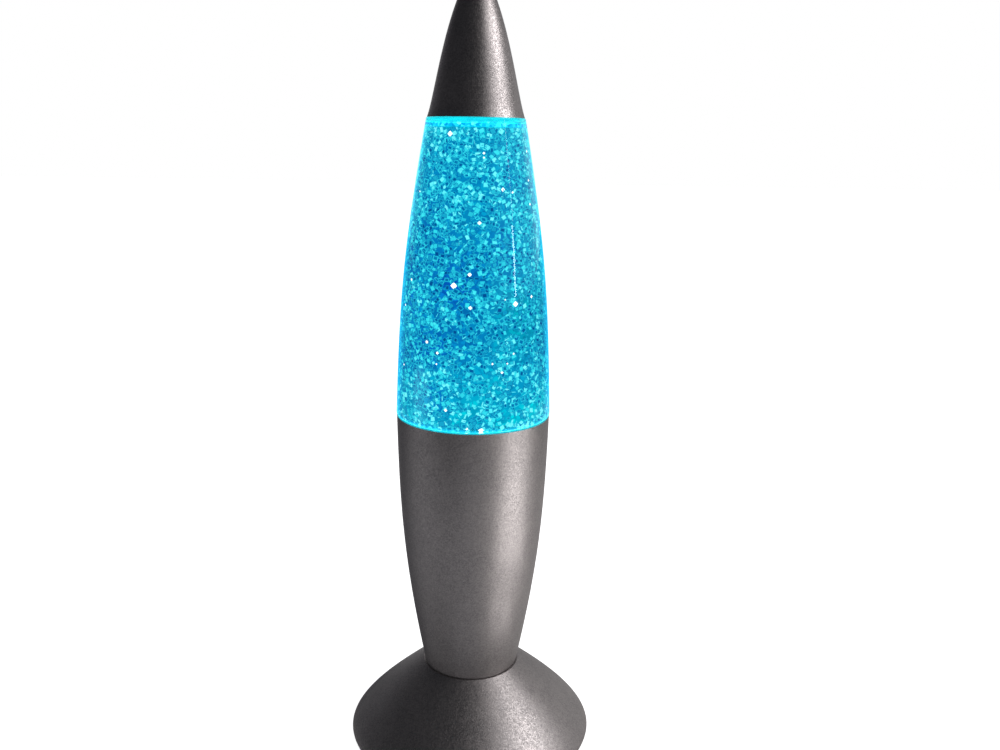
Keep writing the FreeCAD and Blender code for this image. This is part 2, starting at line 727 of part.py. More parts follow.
def carrier_bosses():
    """Screw bosses that the light carrier rests on, each joined to the wall by a web."""
    form = body_form()
    low = CARRIER_Z - CARRIER_BOSS_HEIGHT
    web = block(
        (CARRIER_SCREW_CIRCLE, BODY_TOP_RADIUS), (-CARRIER_WEB / 2, CARRIER_WEB / 2), (low, CARRIER_Z))
    bosses = []
    for angle in SCREW_ANGLES:
        boss = rod(CARRIER_BOSS_RADIUS, around(CARRIER_SCREW_CIRCLE, angle, low), CARRIER_BOSS_HEIGHT)
        arm = web.copy()
        arm.rotate(FreeCAD.Vector(0, 0, 0), AXIS, angle)
        bosses.append(boss.fuse(arm).common(form))
    return bosses


def body_screws():
    """Screws from inside the foot up into the body."""
    head = FOOT_HEIGHT - FOOT_WALL
    return ring_of(
        SCREW_ANGLES, BODY_SCREW_CIRCLE, head,
        lambda place: screw(
            BODY_SCREW_RADIUS, place, FOOT_WALL + BODY_SCREW_REACH - SCREW_TIP_GAP, True))


def light_carrier():
    """Cup under the bottle: carries the LEDs above, the motor below and the diffuser on a ledge."""
    ledge = UPSTAND_INNER + CARRIER_LEDGE
    cup = turned(
        (BUSH_RADIUS + FIT_GAP, CARRIER_Z),
        (CARRIER_RADIUS, CARRIER_Z),
        (CARRIER_RADIUS, RING_Z),
        (ledge, RING_Z),
        (ledge, DIFFUSER_Z),
        (UPSTAND_INNER, DIFFUSER_Z),
        (UPSTAND_INNER, FLANGE_TOP),
        (BUSH_RADIUS + FIT_GAP, FLANGE_TOP))
    motor_holes = [
        rod(MOTOR_SCREW_RADIUS + FIT_GAP / 2, FreeCAD.Vector(x, 0, CARRIER_Z), CARRIER_FLANGE)
        for x in (-MOTOR_SCREW_CIRCLE, MOTOR_SCREW_CIRCLE)
    ]
    holes = ring_of(
        SCREW_ANGLES, CARRIER_SCREW_CIRCLE, CARRIER_Z,
        lambda place: rod(CARRIER_SCREW_RADIUS + FIT_GAP / 2, place, CARRIER_FLANGE))
    lead = rod(LEAD_RADIUS + FIT_GAP, FreeCAD.Vector(LED_LEAD_X, 0, CARRIER_Z), CARRIER_FLANGE)
    return cut(cup, motor_holes + holes + [lead])


def carrier_screws():
    """Screws that hold the LED board and the carrier on the body's bosses."""
    return ring_of(
        SCREW_ANGLES, CARRIER_SCREW_CIRCLE, LED_BOARD_TOP,
        lambda place: screw(
            CARRIER_SCREW_RADIUS, place,
            LED_BOARD_THICK + CARRIER_FLANGE + CARRIER_SCREW_REACH, False))


def led_board():
    """Ring-shaped board that carries the lights round the spinning magnets."""
    board = turned(
        (LED_BOARD_INNER, FLANGE_TOP), (LED_BOARD_OUTER, FLANGE_TOP),
        (LED_BOARD_OUTER, LED_BOARD_TOP), (LED_BOARD_INNER, LED_BOARD_TOP))
    holes = ring_of(
        SCREW_ANGLES, CARRIER_SCREW_CIRCLE, FLANGE_TOP,
        lambda place: rod(CARRIER_SCREW_RADIUS + FIT_GAP / 2, place, LED_BOARD_THICK))
    return cut(board, holes)


def led_lamps():
    """Square light packages with a round clear dish, evenly spaced on the board."""
    half = LED_SIZE / 2
    lamp = block(
        (LED_CIRCLE - half, LED_CIRCLE + half), (-half, half), (LED_BOARD_TOP, LED_BOARD_TOP + LED_HEIGHT))
    dish = Part.makeCone(
        LED_DISH_RADIUS, LED_LENS_RADIUS, LED_HEIGHT / 2,
        FreeCAD.Vector(LED_CIRCLE, 0, LED_BOARD_TOP + LED_HEIGHT / 2))
    lamp = lamp.cut(dish)
    lamps = []
    for index in range(LED_COUNT):
        turned_lamp = lamp.copy()
        turned_lamp.rotate(FreeCAD.Vector(0, 0, 0), AXIS, 360 / LED_COUNT * index)
        lamps.append(turned_lamp)
    return lamps


def light_diffuser():
    """Frosted window that covers the lights and the magnets."""
    return disc(UPSTAND_INNER + CARRIER_LEDGE - FIT_GAP, DIFFUSER_Z, RING_Z)


def seat_ring():
    """Soft ring that the bottle stands on."""
    return turned(
        (CARRIER_RADIUS - RING_WIDTH, RING_Z), (CARRIER_RADIUS, RING_Z),
        (CARRIER_RADIUS, HEEL_Z), (CARRIER_RADIUS - RING_WIDTH, HEEL_Z))


def motor_can():
    """Pressed steel motor case, hung under the carrier."""
    low = CARRIER_Z - MOTOR_LENGTH
    pocket_z = CARRIER_Z - BUSH_DROP
    can = turned(
        (0, low),
        (MOTOR_RADIUS, low),
        round_corner(
            spot(MOTOR_RADIUS, CARRIER_Z - MOTOR_EDGE_ROUND), spot(MOTOR_RADIUS, CARRIER_Z),
            spot(MOTOR_RADIUS - MOTOR_EDGE_ROUND, CARRIER_Z)),
        (BUSH_RADIUS + GLUE_GAP, CARRIER_Z),
        (BUSH_RADIUS + GLUE_GAP, pocket_z),
        (SHAFT_RADIUS + FIT_GAP, pocket_z),
        (SHAFT_RADIUS + FIT_GAP, CARRIER_Z - SHAFT_DEPTH - FIT_GAP),
        (0, CARRIER_Z - SHAFT_DEPTH - FIT_GAP))
    pilots = [
        rod(
            MOTOR_SCREW_RADIUS + GLUE_GAP,
            FreeCAD.Vector(x, 0, CARRIER_Z - MOTOR_SCREW_REACH - SCREW_TIP_GAP),
            MOTOR_SCREW_REACH + SCREW_TIP_GAP)
        for x in (-MOTOR_SCREW_CIRCLE, MOTOR_SCREW_CIRCLE)
    ]
    return cut(can, pilots)


def motor_end_cap():
    """Moulded end of the motor, with the block that the lead is soldered to."""
    top = CARRIER_Z - MOTOR_LENGTH
    half = TERMINAL_WIDTH / 2
    cap = disc(MOTOR_RADIUS, top - END_CAP_LENGTH, top)
    terminal = block(
        (-LEAD_START_X - half, -LEAD_START_X + half), (-half, half),
        (terminal_z(), top - END_CAP_LENGTH))
    return fused(cap, [terminal])


def terminal_z():
    """Height of the underside of the motor's terminal block."""
    return CARRIER_Z - MOTOR_LENGTH - END_CAP_LENGTH - TERMINAL_LENGTH


def motor_bush():
    """Brass bearing that the motor's shaft turns in."""
    low = CARRIER_Z - BUSH_DROP
    inner = SHAFT_RADIUS + RUNNING_GAP
    return turned(
        (inner, low), (BUSH_RADIUS, low), (BUSH_RADIUS, low + BUSH_LENGTH), (inner, low + BUSH_LENGTH))


def motor_screws():
    """Two screws through the carrier into the motor."""
    return [
        screw(
            MOTOR_SCREW_RADIUS, FreeCAD.Vector(x, 0, FLANGE_TOP),
            CARRIER_FLANGE + MOTOR_SCREW_REACH, False)
        for x in (-MOTOR_SCREW_CIRCLE, MOTOR_SCREW_CIRCLE)
    ]


def motor_shaft():
    """Steel shaft from inside the motor up into the magnet holder."""
    return disc(SHAFT_RADIUS, CARRIER_Z - SHAFT_DEPTH, HOLDER_Z + HOLDER_THICK)


def magnet_places(z):
    """The two magnet points on either side of the axis."""
    return [FreeCAD.Vector(0, y, z) for y in (-MAGNET_CIRCLE, MAGNET_CIRCLE)]


def magnet_holder():
    """Wheel on the motor's shaft that carries the drive magnets."""
    bore = SHAFT_RADIUS + GLUE_GAP
    holder = turned(
        (bore, HOLDER_Z), (HOLDER_RADIUS, HOLDER_Z),
        (HOLDER_RADIUS, HOLDER_Z + HOLDER_THICK), (bore, HOLDER_Z + HOLDER_THICK))
    pockets = [
        rod(MAGNET_RADIUS + GLUE_GAP, place, MAGNET_THICK)
        for place in magnet_places(HOLDER_Z + HOLDER_THICK - MAGNET_THICK)
    ]
    return cut(holder, pockets)


def drive_magnets():
    """Magnets in the top of the holder."""
    return [
        rod(MAGNET_RADIUS, place, MAGNET_THICK)
        for place in magnet_places(HOLDER_Z + HOLDER_THICK - MAGNET_THICK)
    ]


def bottle_inside(gap=0.0):
    """The bottle's inner space up to its neck, as section steps from the floor's middle outwards."""
    depth = GLASS_WALL + gap
    wall = SPIGOT_RADIUS - depth
    floor = FLOOR_Z + gap
    ceiling = BOTTLE_TOP - GLASS_SHOULDER - gap
    blend = SHOULDER_Z + HEEL_ROUND + WALL_BLEND
    neck = NECK_BORE - gap
    return [
        (0, floor),
        round_corner(
            spot(wall - SPIGOT_ROUND, floor), spot(wall, floor), spot(wall, floor + SPIGOT_ROUND)),
        (wall, SHOULDER_Z),
        BOTTLE_LINE.edge(blend, ceiling, depth),
        (neck + NECK_FLARE, ceiling),
        (neck, ceiling + NECK_FLARE),
    ]


def glass_bottle():
    """Tapered thick-walled bottle: a spigot in the body, a flush shoulder and a plain neck."""
    top_edge = BOTTLE_TOP - SHOULDER_ROUND
    low = BOTTLE_LINE.radius(SHOULDER_Z + HEEL_ROUND)
    high = BOTTLE_LINE.radius(top_edge)
    inside = bottle_inside()
    outside = [
        (NECK_BORE, NECK_TOP),
        (NECK_RADIUS, NECK_TOP),
        (NECK_RADIUS, BOTTLE_TOP),
        round_corner(
            spot(high - SHOULDER_ROUND, BOTTLE_TOP), spot(high, BOTTLE_TOP), spot(high, top_edge)),
        BOTTLE_LINE.edge(top_edge, SHOULDER_Z + HEEL_ROUND),
        round_corner(
            spot(low, SHOULDER_Z + HEEL_ROUND), spot(low, SHOULDER_Z),
            spot(low - HEEL_ROUND, SHOULDER_Z)),
        (SPIGOT_RADIUS, SHOULDER_Z),
        round_corner(
            spot(SPIGOT_RADIUS, HEEL_Z + SPIGOT_ROUND), spot(SPIGOT_RADIUS, HEEL_Z),
            spot(SPIGOT_RADIUS - SPIGOT_ROUND, HEEL_Z)),
        (0, HEEL_Z),
    ]
    return turned(*(inside + outside))


def glitter_liquid():
    """The liquid that fills the bottle, round the space in which the stirrer turns."""
    surface = NECK_TOP - CLOSURE_PLUG_DEPTH - FIT_GAP
    full = turned(*(bottle_inside(LIQUID_GAP) + [
        (NECK_BORE - LIQUID_GAP, surface),
        (0, surface),
    ]))
    swept = WHEEL_RADIUS + FIT_GAP
    top = pin_cap_top() + FIT_GAP
    return cut(full, [rod(swept, spot(0, FLOOR_Z), top - FLOOR_Z)])


def bottle_closure():
    """Plug with a flange that closes the bottle's neck."""
    flange = NECK_TOP + SEAL_THICK
    return turned(
        (0, NECK_TOP - CLOSURE_PLUG_DEPTH),
        (NECK_BORE - FIT_GAP / 2, NECK_TOP - CLOSURE_PLUG_DEPTH),
        (NECK_BORE - FIT_GAP / 2, flange),
        (CLOSURE_FLANGE_RADIUS, flange),
        (CLOSURE_FLANGE_RADIUS, CLOSURE_TOP),
        (0, CLOSURE_TOP))


def closure_seal():
    """Soft washer between the neck and the closure."""
    return turned(
        (NECK_BORE, NECK_TOP), (CLOSURE_FLANGE_RADIUS, NECK_TOP),
        (CLOSURE_FLANGE_RADIUS, NECK_TOP + SEAL_THICK), (NECK_BORE, NECK_TOP + SEAL_THICK))


def hub_top():
    """Height of the top of the stirrer's hub."""
    return WHEEL_Z + WHEEL_DISC + VANE_HEIGHT


def pin_cap_top():
    """Height of the top of the stirrer pin's cap."""
    return hub_top() + WHEEL_LIFT + PIN_CAP_THICK


def stirrer_seat():
    """Disc on the bottle's floor with the pin that the stirrer turns on."""
    seat_top = FLOOR_Z + SEAT_THICK
    pin_top = pin_cap_top() - PIN_CAP_THICK / 2
    return turned(
        (0, FLOOR_Z), (SEAT_RADIUS, FLOOR_Z), (SEAT_RADIUS, seat_top),
        (PIN_RADIUS, seat_top), (PIN_RADIUS, pin_top), (0, pin_top))


def pin_cap():
    """Small cap on the pin that keeps the stirrer on it."""
    low = pin_cap_top() - PIN_CAP_THICK
    cap = disc(PIN_CAP_RADIUS, low, pin_cap_top())
    return cut(cap, [rod(PIN_RADIUS + GLUE_GAP, spot(0, low), PIN_CAP_THICK / 2)])


def vane_section(turn, z):
    """Rectangle of one vane at this height, turned about the axis by turn degrees."""
    half = VANE_THICK / 2
    corners = [(HUB_RADIUS / 2, -half), (WHEEL_RADIUS, -half), (WHEEL_RADIUS, half), (HUB_RADIUS / 2, half)]
    points = [FreeCAD.Vector(x, y, z) for x, y in corners]
    wire = Part.makePolygon(points + points[:1])
    wire.rotate(FreeCAD.Vector(0, 0, 0), AXIS, turn)
    return wire


def stirrer_wheel():
    """Wheel with twisted vanes that lift and swirl the liquid, and pockets for its magnets."""
    low = WHEEL_Z + WHEEL_DISC
    sink = WHEEL_DISC / 4
    disc_part = disc(WHEEL_RADIUS, WHEEL_Z, low)
    hub = disc(HUB_RADIUS, WHEEL_Z, hub_top())
    limit = disc(WHEEL_RADIUS, WHEEL_Z, hub_top())
    height = VANE_HEIGHT + sink
    sections = [
        vane_section(VANE_TWIST * step / 2, low - sink + height * step / 2)
        for step in range(3)
    ]
    vane = Part.makeLoft(sections, True, False).common(limit)
    vanes = []
    for index in range(VANE_COUNT):
        copy = vane.copy()
        copy.rotate(FreeCAD.Vector(0, 0, 0), AXIS, 360 / VANE_COUNT * index)
        vanes.append(copy)
    wheel = disc_part.multiFuse([hub] + vanes)
    bore = rod(PIN_RADIUS + RUNNING_GAP, spot(0, WHEEL_Z), hub_top() - WHEEL_Z)
    pockets = [
        rod(MAGNET_RADIUS + GLUE_GAP, place, STIRRER_MAGNET_THICK)
        for place in magnet_places(WHEEL_Z)
    ]
    return cut(wheel, [bore] + pockets)


def stirrer_magnets():
    """Magnets in the underside of the stirrer."""
    return [rod(MAGNET_RADIUS, place, STIRRER_MAGNET_THICK) for place in magnet_places(WHEEL_Z)]


def nose_arc(depth):
    """Rounded tip of the cap at this depth: its edge up to the axis, and the height it starts."""
    height = CAP_HEIGHT
    low = 0.0
    for _ in range(50):
        middle = (low + height) / 2
        if CAP_LINE.radius(BOTTLE_TOP + middle) > CAP_NOSE_RADIUS:
            low = middle
        else:
            height = middle
    t = CAP_LINE.where(BOTTLE_TOP + low)
    start = CAP_LINE.at(t)
    way = CAP_LINE.curve.tangent(t)[0]
    size = start.x / way.z
    centre = start + FreeCAD.Vector(-way.z, 0, way.x) * size
    radius = size - depth
    outward = math.atan2(-way.x, way.z)
    points = [
        centre + FreeCAD.Vector(math.cos(turn), 0, math.sin(turn)) * radius
        for turn in (outward, (outward + math.pi / 2) / 2, math.pi / 2)
    ]
    return Part.Arc(*points).toShape(), points[0].z


def cap_form(depth):
    """The cap's outer form, filled, at this depth under its surface."""
    tip, tip_z = nose_arc(depth)
    return turned((0, BOTTLE_TOP), CAP_LINE.edge(BOTTLE_TOP, tip_z, depth), tip)


def nose_cap():
    """Hollow tapered cap with a round tip and crossed ribs inside."""
    inside = cap_form(CAP_WALL)
    rib_z = CLOSURE_TOP + FIT_GAP
    rib = block(
        (CAP_RIB_BORE, CAP_RADIUS), (-CAP_RIB_THICK / 2, CAP_RIB_THICK / 2),
        (rib_z, rib_z + CAP_RIB_HEIGHT))
    ribs = []
    for index in range(CAP_RIB_COUNT):
        copy = rib.copy()
        copy.rotate(FreeCAD.Vector(0, 0, 0), AXIS, 360 / CAP_RIB_COUNT * index)
        ribs.append(copy.common(cap_form(CAP_WALL / 2)))
    return fused(cut(cap_form(0.0), [inside]), ribs)


def cap_sleeve():
    """Friction sleeve glued in the cap, which grips the bottle's neck."""
    low = BOTTLE_TOP + SLEEVE_INSET
    high = low + SLEEVE_HEIGHT
    outer = CAP_LINE.radius(high, CAP_WALL) - GLUE_GAP
    inner = NECK_RADIUS + FIT_GAP
    return turned((inner, low), (outer, low), (outer, high), (inner, high))


def lead(points):
    """Round lead along straight runs with bends as large as the runs allow."""
    edges = []
    last = points[0]
    for before, corner, after in zip(points, points[1:], points[2:]):
        back = before - corner
        forth = after - corner
        cutback = LEAD_BEND_SHARE * min(back.Length, forth.Length)
        start = corner + back.normalize() * cutback
        end = corner + forth.normalize() * cutback
        half = back.getAngle(forth) / 2
        radius = cutback * math.tan(half)
        inner = (back + forth).normalize()
        middle = corner + inner * (cutback / math.cos(half) - radius)
        edges.append(Part.makeLine(last, start))
        edges.append(Part.Arc(start, middle, end).toShape())
        last = end
    edges.append(Part.makeLine(last, points[-1]))
    path = Part.Wire(edges)
    section = Part.Wire(Part.makeCircle(LEAD_RADIUS, points[0], points[1] - points[0]))
    return path.makePipeShell([section], True, False)


def lead_start(side):
    """First points of a lead: up out of its plug and in towards the neck."""
    top = BOARD_TOP + PLUG_HEIGHT
    return [
        FreeCAD.Vector(side * LEAD_START_X, LEAD_START_Y, top),
        FreeCAD.Vector(side * LEAD_START_X, LEAD_START_Y, top + LEAD_RISE),
        FreeCAD.Vector(side * LEAD_NECK_X, 0, FOOT_HEIGHT - LEAD_NECK_BELOW),
        FreeCAD.Vector(side * LEAD_NECK_X, 0, FOOT_HEIGHT + LEAD_NECK_ABOVE),
    ]


def motor_lead():
    """Lead from the control board to the motor."""
    return lead(lead_start(-1) + [
        FreeCAD.Vector(-LEAD_START_X, 0, terminal_z() - MOTOR_LEAD_RUN),
        FreeCAD.Vector(-LEAD_START_X, 0, terminal_z()),
    ])


def led_lead():
    """Lead from the control board past the motor to the LED board."""
    return lead(lead_start(1) + [
        FreeCAD.Vector(LED_LEAD_X, 0, CARRIER_Z - MOTOR_LENGTH - LED_LEAD_BELOW),
        FreeCAD.Vector(LED_LEAD_X, 0, FLANGE_TOP),
    ])


NODES = {
    "foot_shell": foot_shell,
    "bottom_plate": bottom_plate,
    "plate_screws": plate_screws,
    "rubber_pads": rubber_pads,
    "control_board": control_board,
    "board_parts": board_parts,
    "board_screws": board_screws,
    "dc_socket": dc_socket,
    "switch_body": switch_body,
    "button_cap": button_cap,
    "button_spring": button_spring,
    "body_shell": body_shell,
    "body_screws": body_screws,
    "light_carrier": light_carrier,
    "carrier_screws": carrier_screws,
    "led_board": led_board,
    "led_lamps": led_lamps,
    "light_diffuser": light_diffuser,
    "seat_ring": seat_ring,
    "motor_can": motor_can,
    "motor_end_cap": motor_end_cap,
    "motor_bush": motor_bush,
    "motor_screws": motor_screws,
    "motor_lead": motor_lead,
    "led_lead": led_lead,
    "motor_shaft": motor_shaft,
    "magnet_holder": magnet_holder,
    "drive_magnets": drive_magnets,
    "glass_bottle": glass_bottle,
    "glitter_liquid": glitter_liquid,
    "bottle_closure": bottle_closure,
    "closure_seal": closure_seal,
    "stirrer_seat": stirrer_seat,
    "pin_cap": pin_cap,
    "stirrer_wheel": stirrer_wheel,
    "stirrer_magnets": stirrer_magnets,
    "nose_cap": nose_cap,
    "cap_sleeve": cap_sleeve,
}


def main():
    """Builds every node and writes each to its own file."""
    os.makedirs("parts", exist_ok=True)
    for name, make in NODES.items():
        made = make()
        solids = made if isinstance(made, list) else [made]
        shape = Part.makeCompound(solids) if len(solids) > 1 else solids[0]
        shape.exportStep("parts/" + name + ".step")
        count = len(shape.Solids)
        print(name, count, "solids", round(shape.Volume, 1), "mm3", "valid" if shape.isValid() else "INVALID")


main()
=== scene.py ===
"""Looks of a glitter lamp: its paint, glass, lit liquid and flakes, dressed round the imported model.

Metres, +Z up, the origin on the table under the middle of the foot, the lamp's front towards -Y.
"""

from __future__ import annotations

import logging
import math
from dataclasses import dataclass, field
from enum import Enum
from typing import Any

import bpy
import numpy as np
from mathutils import Matrix, Vector

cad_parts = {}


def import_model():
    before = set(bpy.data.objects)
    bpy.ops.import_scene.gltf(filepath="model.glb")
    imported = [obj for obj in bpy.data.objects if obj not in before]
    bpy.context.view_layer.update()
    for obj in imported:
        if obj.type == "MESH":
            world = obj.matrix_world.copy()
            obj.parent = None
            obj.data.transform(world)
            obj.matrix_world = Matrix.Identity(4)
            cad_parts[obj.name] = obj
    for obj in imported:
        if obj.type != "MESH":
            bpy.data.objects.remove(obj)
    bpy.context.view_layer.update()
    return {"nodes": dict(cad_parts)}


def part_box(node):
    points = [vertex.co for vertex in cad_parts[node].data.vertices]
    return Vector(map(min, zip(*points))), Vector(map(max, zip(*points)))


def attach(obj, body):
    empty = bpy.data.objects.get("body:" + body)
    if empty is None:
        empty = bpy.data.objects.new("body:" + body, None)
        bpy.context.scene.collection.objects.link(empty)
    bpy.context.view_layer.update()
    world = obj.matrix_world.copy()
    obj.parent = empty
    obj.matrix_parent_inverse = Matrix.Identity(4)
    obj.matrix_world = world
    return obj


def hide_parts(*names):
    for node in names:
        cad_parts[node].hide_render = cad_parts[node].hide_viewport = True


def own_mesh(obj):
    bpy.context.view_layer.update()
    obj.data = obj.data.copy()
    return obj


LOG = logging.getLogger("glitter_lamp")
MM = 0.001

LIQUID_BODY = "bottle"

# Points round a glint, the corners of a square, and the faces of a thin square plate by its points
STAR = 8
SQUARE = ((-1, -1), (1, -1), (1, 1), (-1, 1))
PLATE = np.array([[3, 2, 1, 0], [4, 5, 6, 7], [0, 1, 5, 4], [1, 2, 6, 5], [2, 3, 7, 6], [3, 0, 4, 7]])
PLATE_POINTS = 8

# Where most values of a noise lie
MIDDLE = (0.3, 0.7)

Colour = tuple[float, float, float]
Place = tuple[float, float, float]
Span = tuple[float, float]
Stops = tuple[tuple[float, Colour], ...]


class Steps(Enum):
    """How a ramp's colours change between its stops."""

    GRADUAL = "LINEAR"
    SUDDEN = "CONSTANT"


class Side(Enum):
    """What a shader fills: a piece's skin or its inside."""

    SKIN = "Surface"
    INSIDE = "Volume"


class Graph:
    """Node tree of one material or world, with short ways to add and join its nodes."""

    def __init__(self, owner: bpy.types.ID) -> None:
        """Empties the owner's node tree.

        Args:
            owner: the material or world whose nodes are made.
        """
        owner.use_nodes = True
        world = isinstance(owner, bpy.types.World)
        self.output = "ShaderNodeOutputWorld" if world else "ShaderNodeOutputMaterial"
        self.tree = owner.node_tree
        self.tree.nodes.clear()

    def add(self, kind: str, inputs: dict[Any, Any] | None = None, **settings: Any) -> bpy.types.Node:
        """Adds a node.

        Args:
            kind: the node's type, such as ShaderNodeTexNoise.
            inputs: values or sockets for its inputs, by name or number.
            settings: other settings of the node.

        Returns:
            The new node.
        """
        node = self.tree.nodes.new(kind)
        for name, value in settings.items():
            setattr(node, name, value)
        for name, value in (inputs or {}).items():
            self.feed(node.inputs[name], value)
        return node

    def feed(self, socket: bpy.types.NodeSocket, value: Any) -> None:
        """Sets an input, or joins it to another node's output.

        Args:
            socket: the input.
            value: a number, a colour or an output socket.
        """
        if isinstance(value, bpy.types.NodeSocket):
            self.tree.links.new(value, socket)
        elif isinstance(value, tuple) and len(value) == 3 and socket.type == "RGBA":
            socket.default_value = (*value, 1.0)
        else:
            socket.default_value = value

    def place(self, scale: Place | None = None) -> bpy.types.NodeSocket:
        """Gives the object's own coordinates in metres.

        Args:
            scale: stretch along each axis, if any.

        Returns:
            The socket that holds them.
        """
        own = self.add("ShaderNodeTexCoord").outputs["Object"]
        if scale is None:
            return own
        return self.add("ShaderNodeMapping", {"Vector": own, "Scale": scale}).outputs["Vector"]

    def noise(self, size: float, detail: float = 2.0, place: Any = None) -> bpy.types.NodeSocket:
        """Gives a cloudy value from 0 to 1, its clouds a size wide in the units of place."""
        node = self.add("ShaderNodeTexNoise", {
            "Vector": place or self.place(), "Scale": 1.0 / size, "Detail": detail})
        return node.outputs["Fac"]

    def grains(self, size: float, place: Any = None) -> bpy.types.NodeSocket:
        """Gives a random colour for each small grain, a size wide in the units of place."""
        node = self.add("ShaderNodeTexVoronoi", {"Vector": place or self.place(), "Scale": 1.0 / size})
        return node.outputs["Color"]

    def math(
            self, operation: str, first: Any, second: Any = 0.0, third: Any = 0.0,
            clamp: bool = False) -> bpy.types.NodeSocket:
        """Gives the result of a sum.

        Args:
            operation: Blender's name of it, such as MULTIPLY.
            first: a number or socket.
            second: a number or socket.
            third: a number or socket, for a sum of three.
            clamp: whether the result stays between 0 and 1.

        Returns:
            The result's socket.
        """
        node = self.add(
            "ShaderNodeMath", {0: first, 1: second, 2: third}, operation=operation, use_clamp=clamp)
        return node.outputs[0]

    def vector(self, operation: str, first: Any, second: Any = (0.0, 0.0, 0.0)) -> bpy.types.NodeSocket:
        """Gives the result of a sum with directions or places.

        Args:
            operation: Blender's name of it, such as NORMALIZE.
            first: a vector or its socket.
            second: a vector or its socket.

        Returns:
            The result's socket, a number or a vector.
        """
        node = self.add("ShaderNodeVectorMath", {0: first, 1: second}, operation=operation)
        number = operation in ("DOT_PRODUCT", "LENGTH", "DISTANCE")
        return node.outputs["Value" if number else "Vector"]

    def axes(self, vector: Any) -> bpy.types.NodeOutputs:
        """Gives a vector's three numbers as the outputs X, Y and Z."""
        return self.add("ShaderNodeSeparateXYZ", {"Vector": vector}).outputs

    def ramp(
            self, value: Any, stops: Stops, steps: Steps = Steps.GRADUAL) -> bpy.types.NodeSocket:
        """Gives a colour for a value.

        Args:
            value: the value's socket.
            stops: positions from 0 to 1 with their colours.
            steps: how the colours change between the stops.

        Returns:
            The colour's socket.
        """
        node = self.add("ShaderNodeValToRGB", {"Fac": value})
        line = node.color_ramp
        line.interpolation = steps.value
        while len(line.elements) < len(stops):
            line.elements.new(0.5)
        for element, (position, colour) in zip(line.elements, stops):
            element.position = position
            element.color = (*colour, 1.0)
        return node.outputs["Color"]

    def span(
            self, value: Any, low: float, high: float, to_low: float = 0.0,
            to_high: float = 1.0) -> bpy.types.NodeSocket:
        """Maps a value from one range to another, with soft ends.

        Args:
            value: the value's socket.
            low: value that gives to_low.
            high: value that gives to_high.
            to_low: result at and below low.
            to_high: result at and above high.

        Returns:
            The result's socket.
        """
        node = self.add("ShaderNodeMapRange", {
            "Value": value, "From Min": low, "From Max": high, "To Min": to_low, "To Max": to_high,
        }, interpolation_type="SMOOTHSTEP")
        return node.outputs["Result"]

    def mix(self, share: Any, first: Any, second: Any, blend: str = "MIX") -> bpy.types.NodeSocket:
        """Gives a mixture of two colours.

        Args:
            share: how much of the second, from 0 to 1.
            first: a colour or its socket.
            second: a colour or its socket.
            blend: Blender's name of the way they mix.

        Returns:
            The mixture's socket.
        """
        node = self.add("ShaderNodeMix", data_type="RGBA", blend_type=blend)
        self.feed(node.inputs[0], share)
        self.feed(node.inputs[6], first)
        self.feed(node.inputs[7], second)
        return node.outputs[2]

    def bump(self, height: Any, depth: float, strength: float) -> bpy.types.NodeSocket:
        """Gives a surface direction roughened by a height, where a height of 1 stands depth high."""
        node = self.add("ShaderNodeBump", {"Height": height, "Distance": depth, "Strength": strength})
        return node.outputs["Normal"]

    def surface(self, **inputs: Any) -> None:
        """Adds the shader, joined to the output.

        Args:
            inputs: its inputs, with underscores for spaces.
        """
        named = {name.replace("_", " "): value for name, value in inputs.items()}
        shader = self.add("ShaderNodeBsdfPrincipled", named)
        self.end(shader.outputs[0])

    def shine(self, colour: Any, unlit: Colour, roughness: float) -> None:
        """Adds a shader without highlights that shines in a colour, joined to the output."""
        self.surface(
            Base_Color=unlit, Roughness=roughness, Specular_IOR_Level=0.0, Emission_Color=colour,
            Emission_Strength=1.0)

    def end(self, shader: bpy.types.NodeSocket, side: Side = Side.SKIN) -> None:
        """Joins a shader to the output.

        Args:
            shader: the shader's socket.
            side: whether it fills the piece's skin or its inside.
        """
        found = [node for node in self.tree.nodes if node.bl_idname == self.output]
        output = found[0] if found else self.add(self.output)
        self.tree.links.new(shader, output.inputs[side.value])


@dataclass(frozen=True)
class Finish:
    """What a surface looks like."""

    name: str

    def make(self) -> bpy.types.Material:
        """Builds the material.

        Returns:
            The new material.
        """
        material = bpy.data.materials.new(self.name)
        self.paint(Graph(material))
        return material

    def paint(self, graph: Graph) -> None:
        """Adds the finish's nodes to the material's node tree."""
        raise NotImplementedError


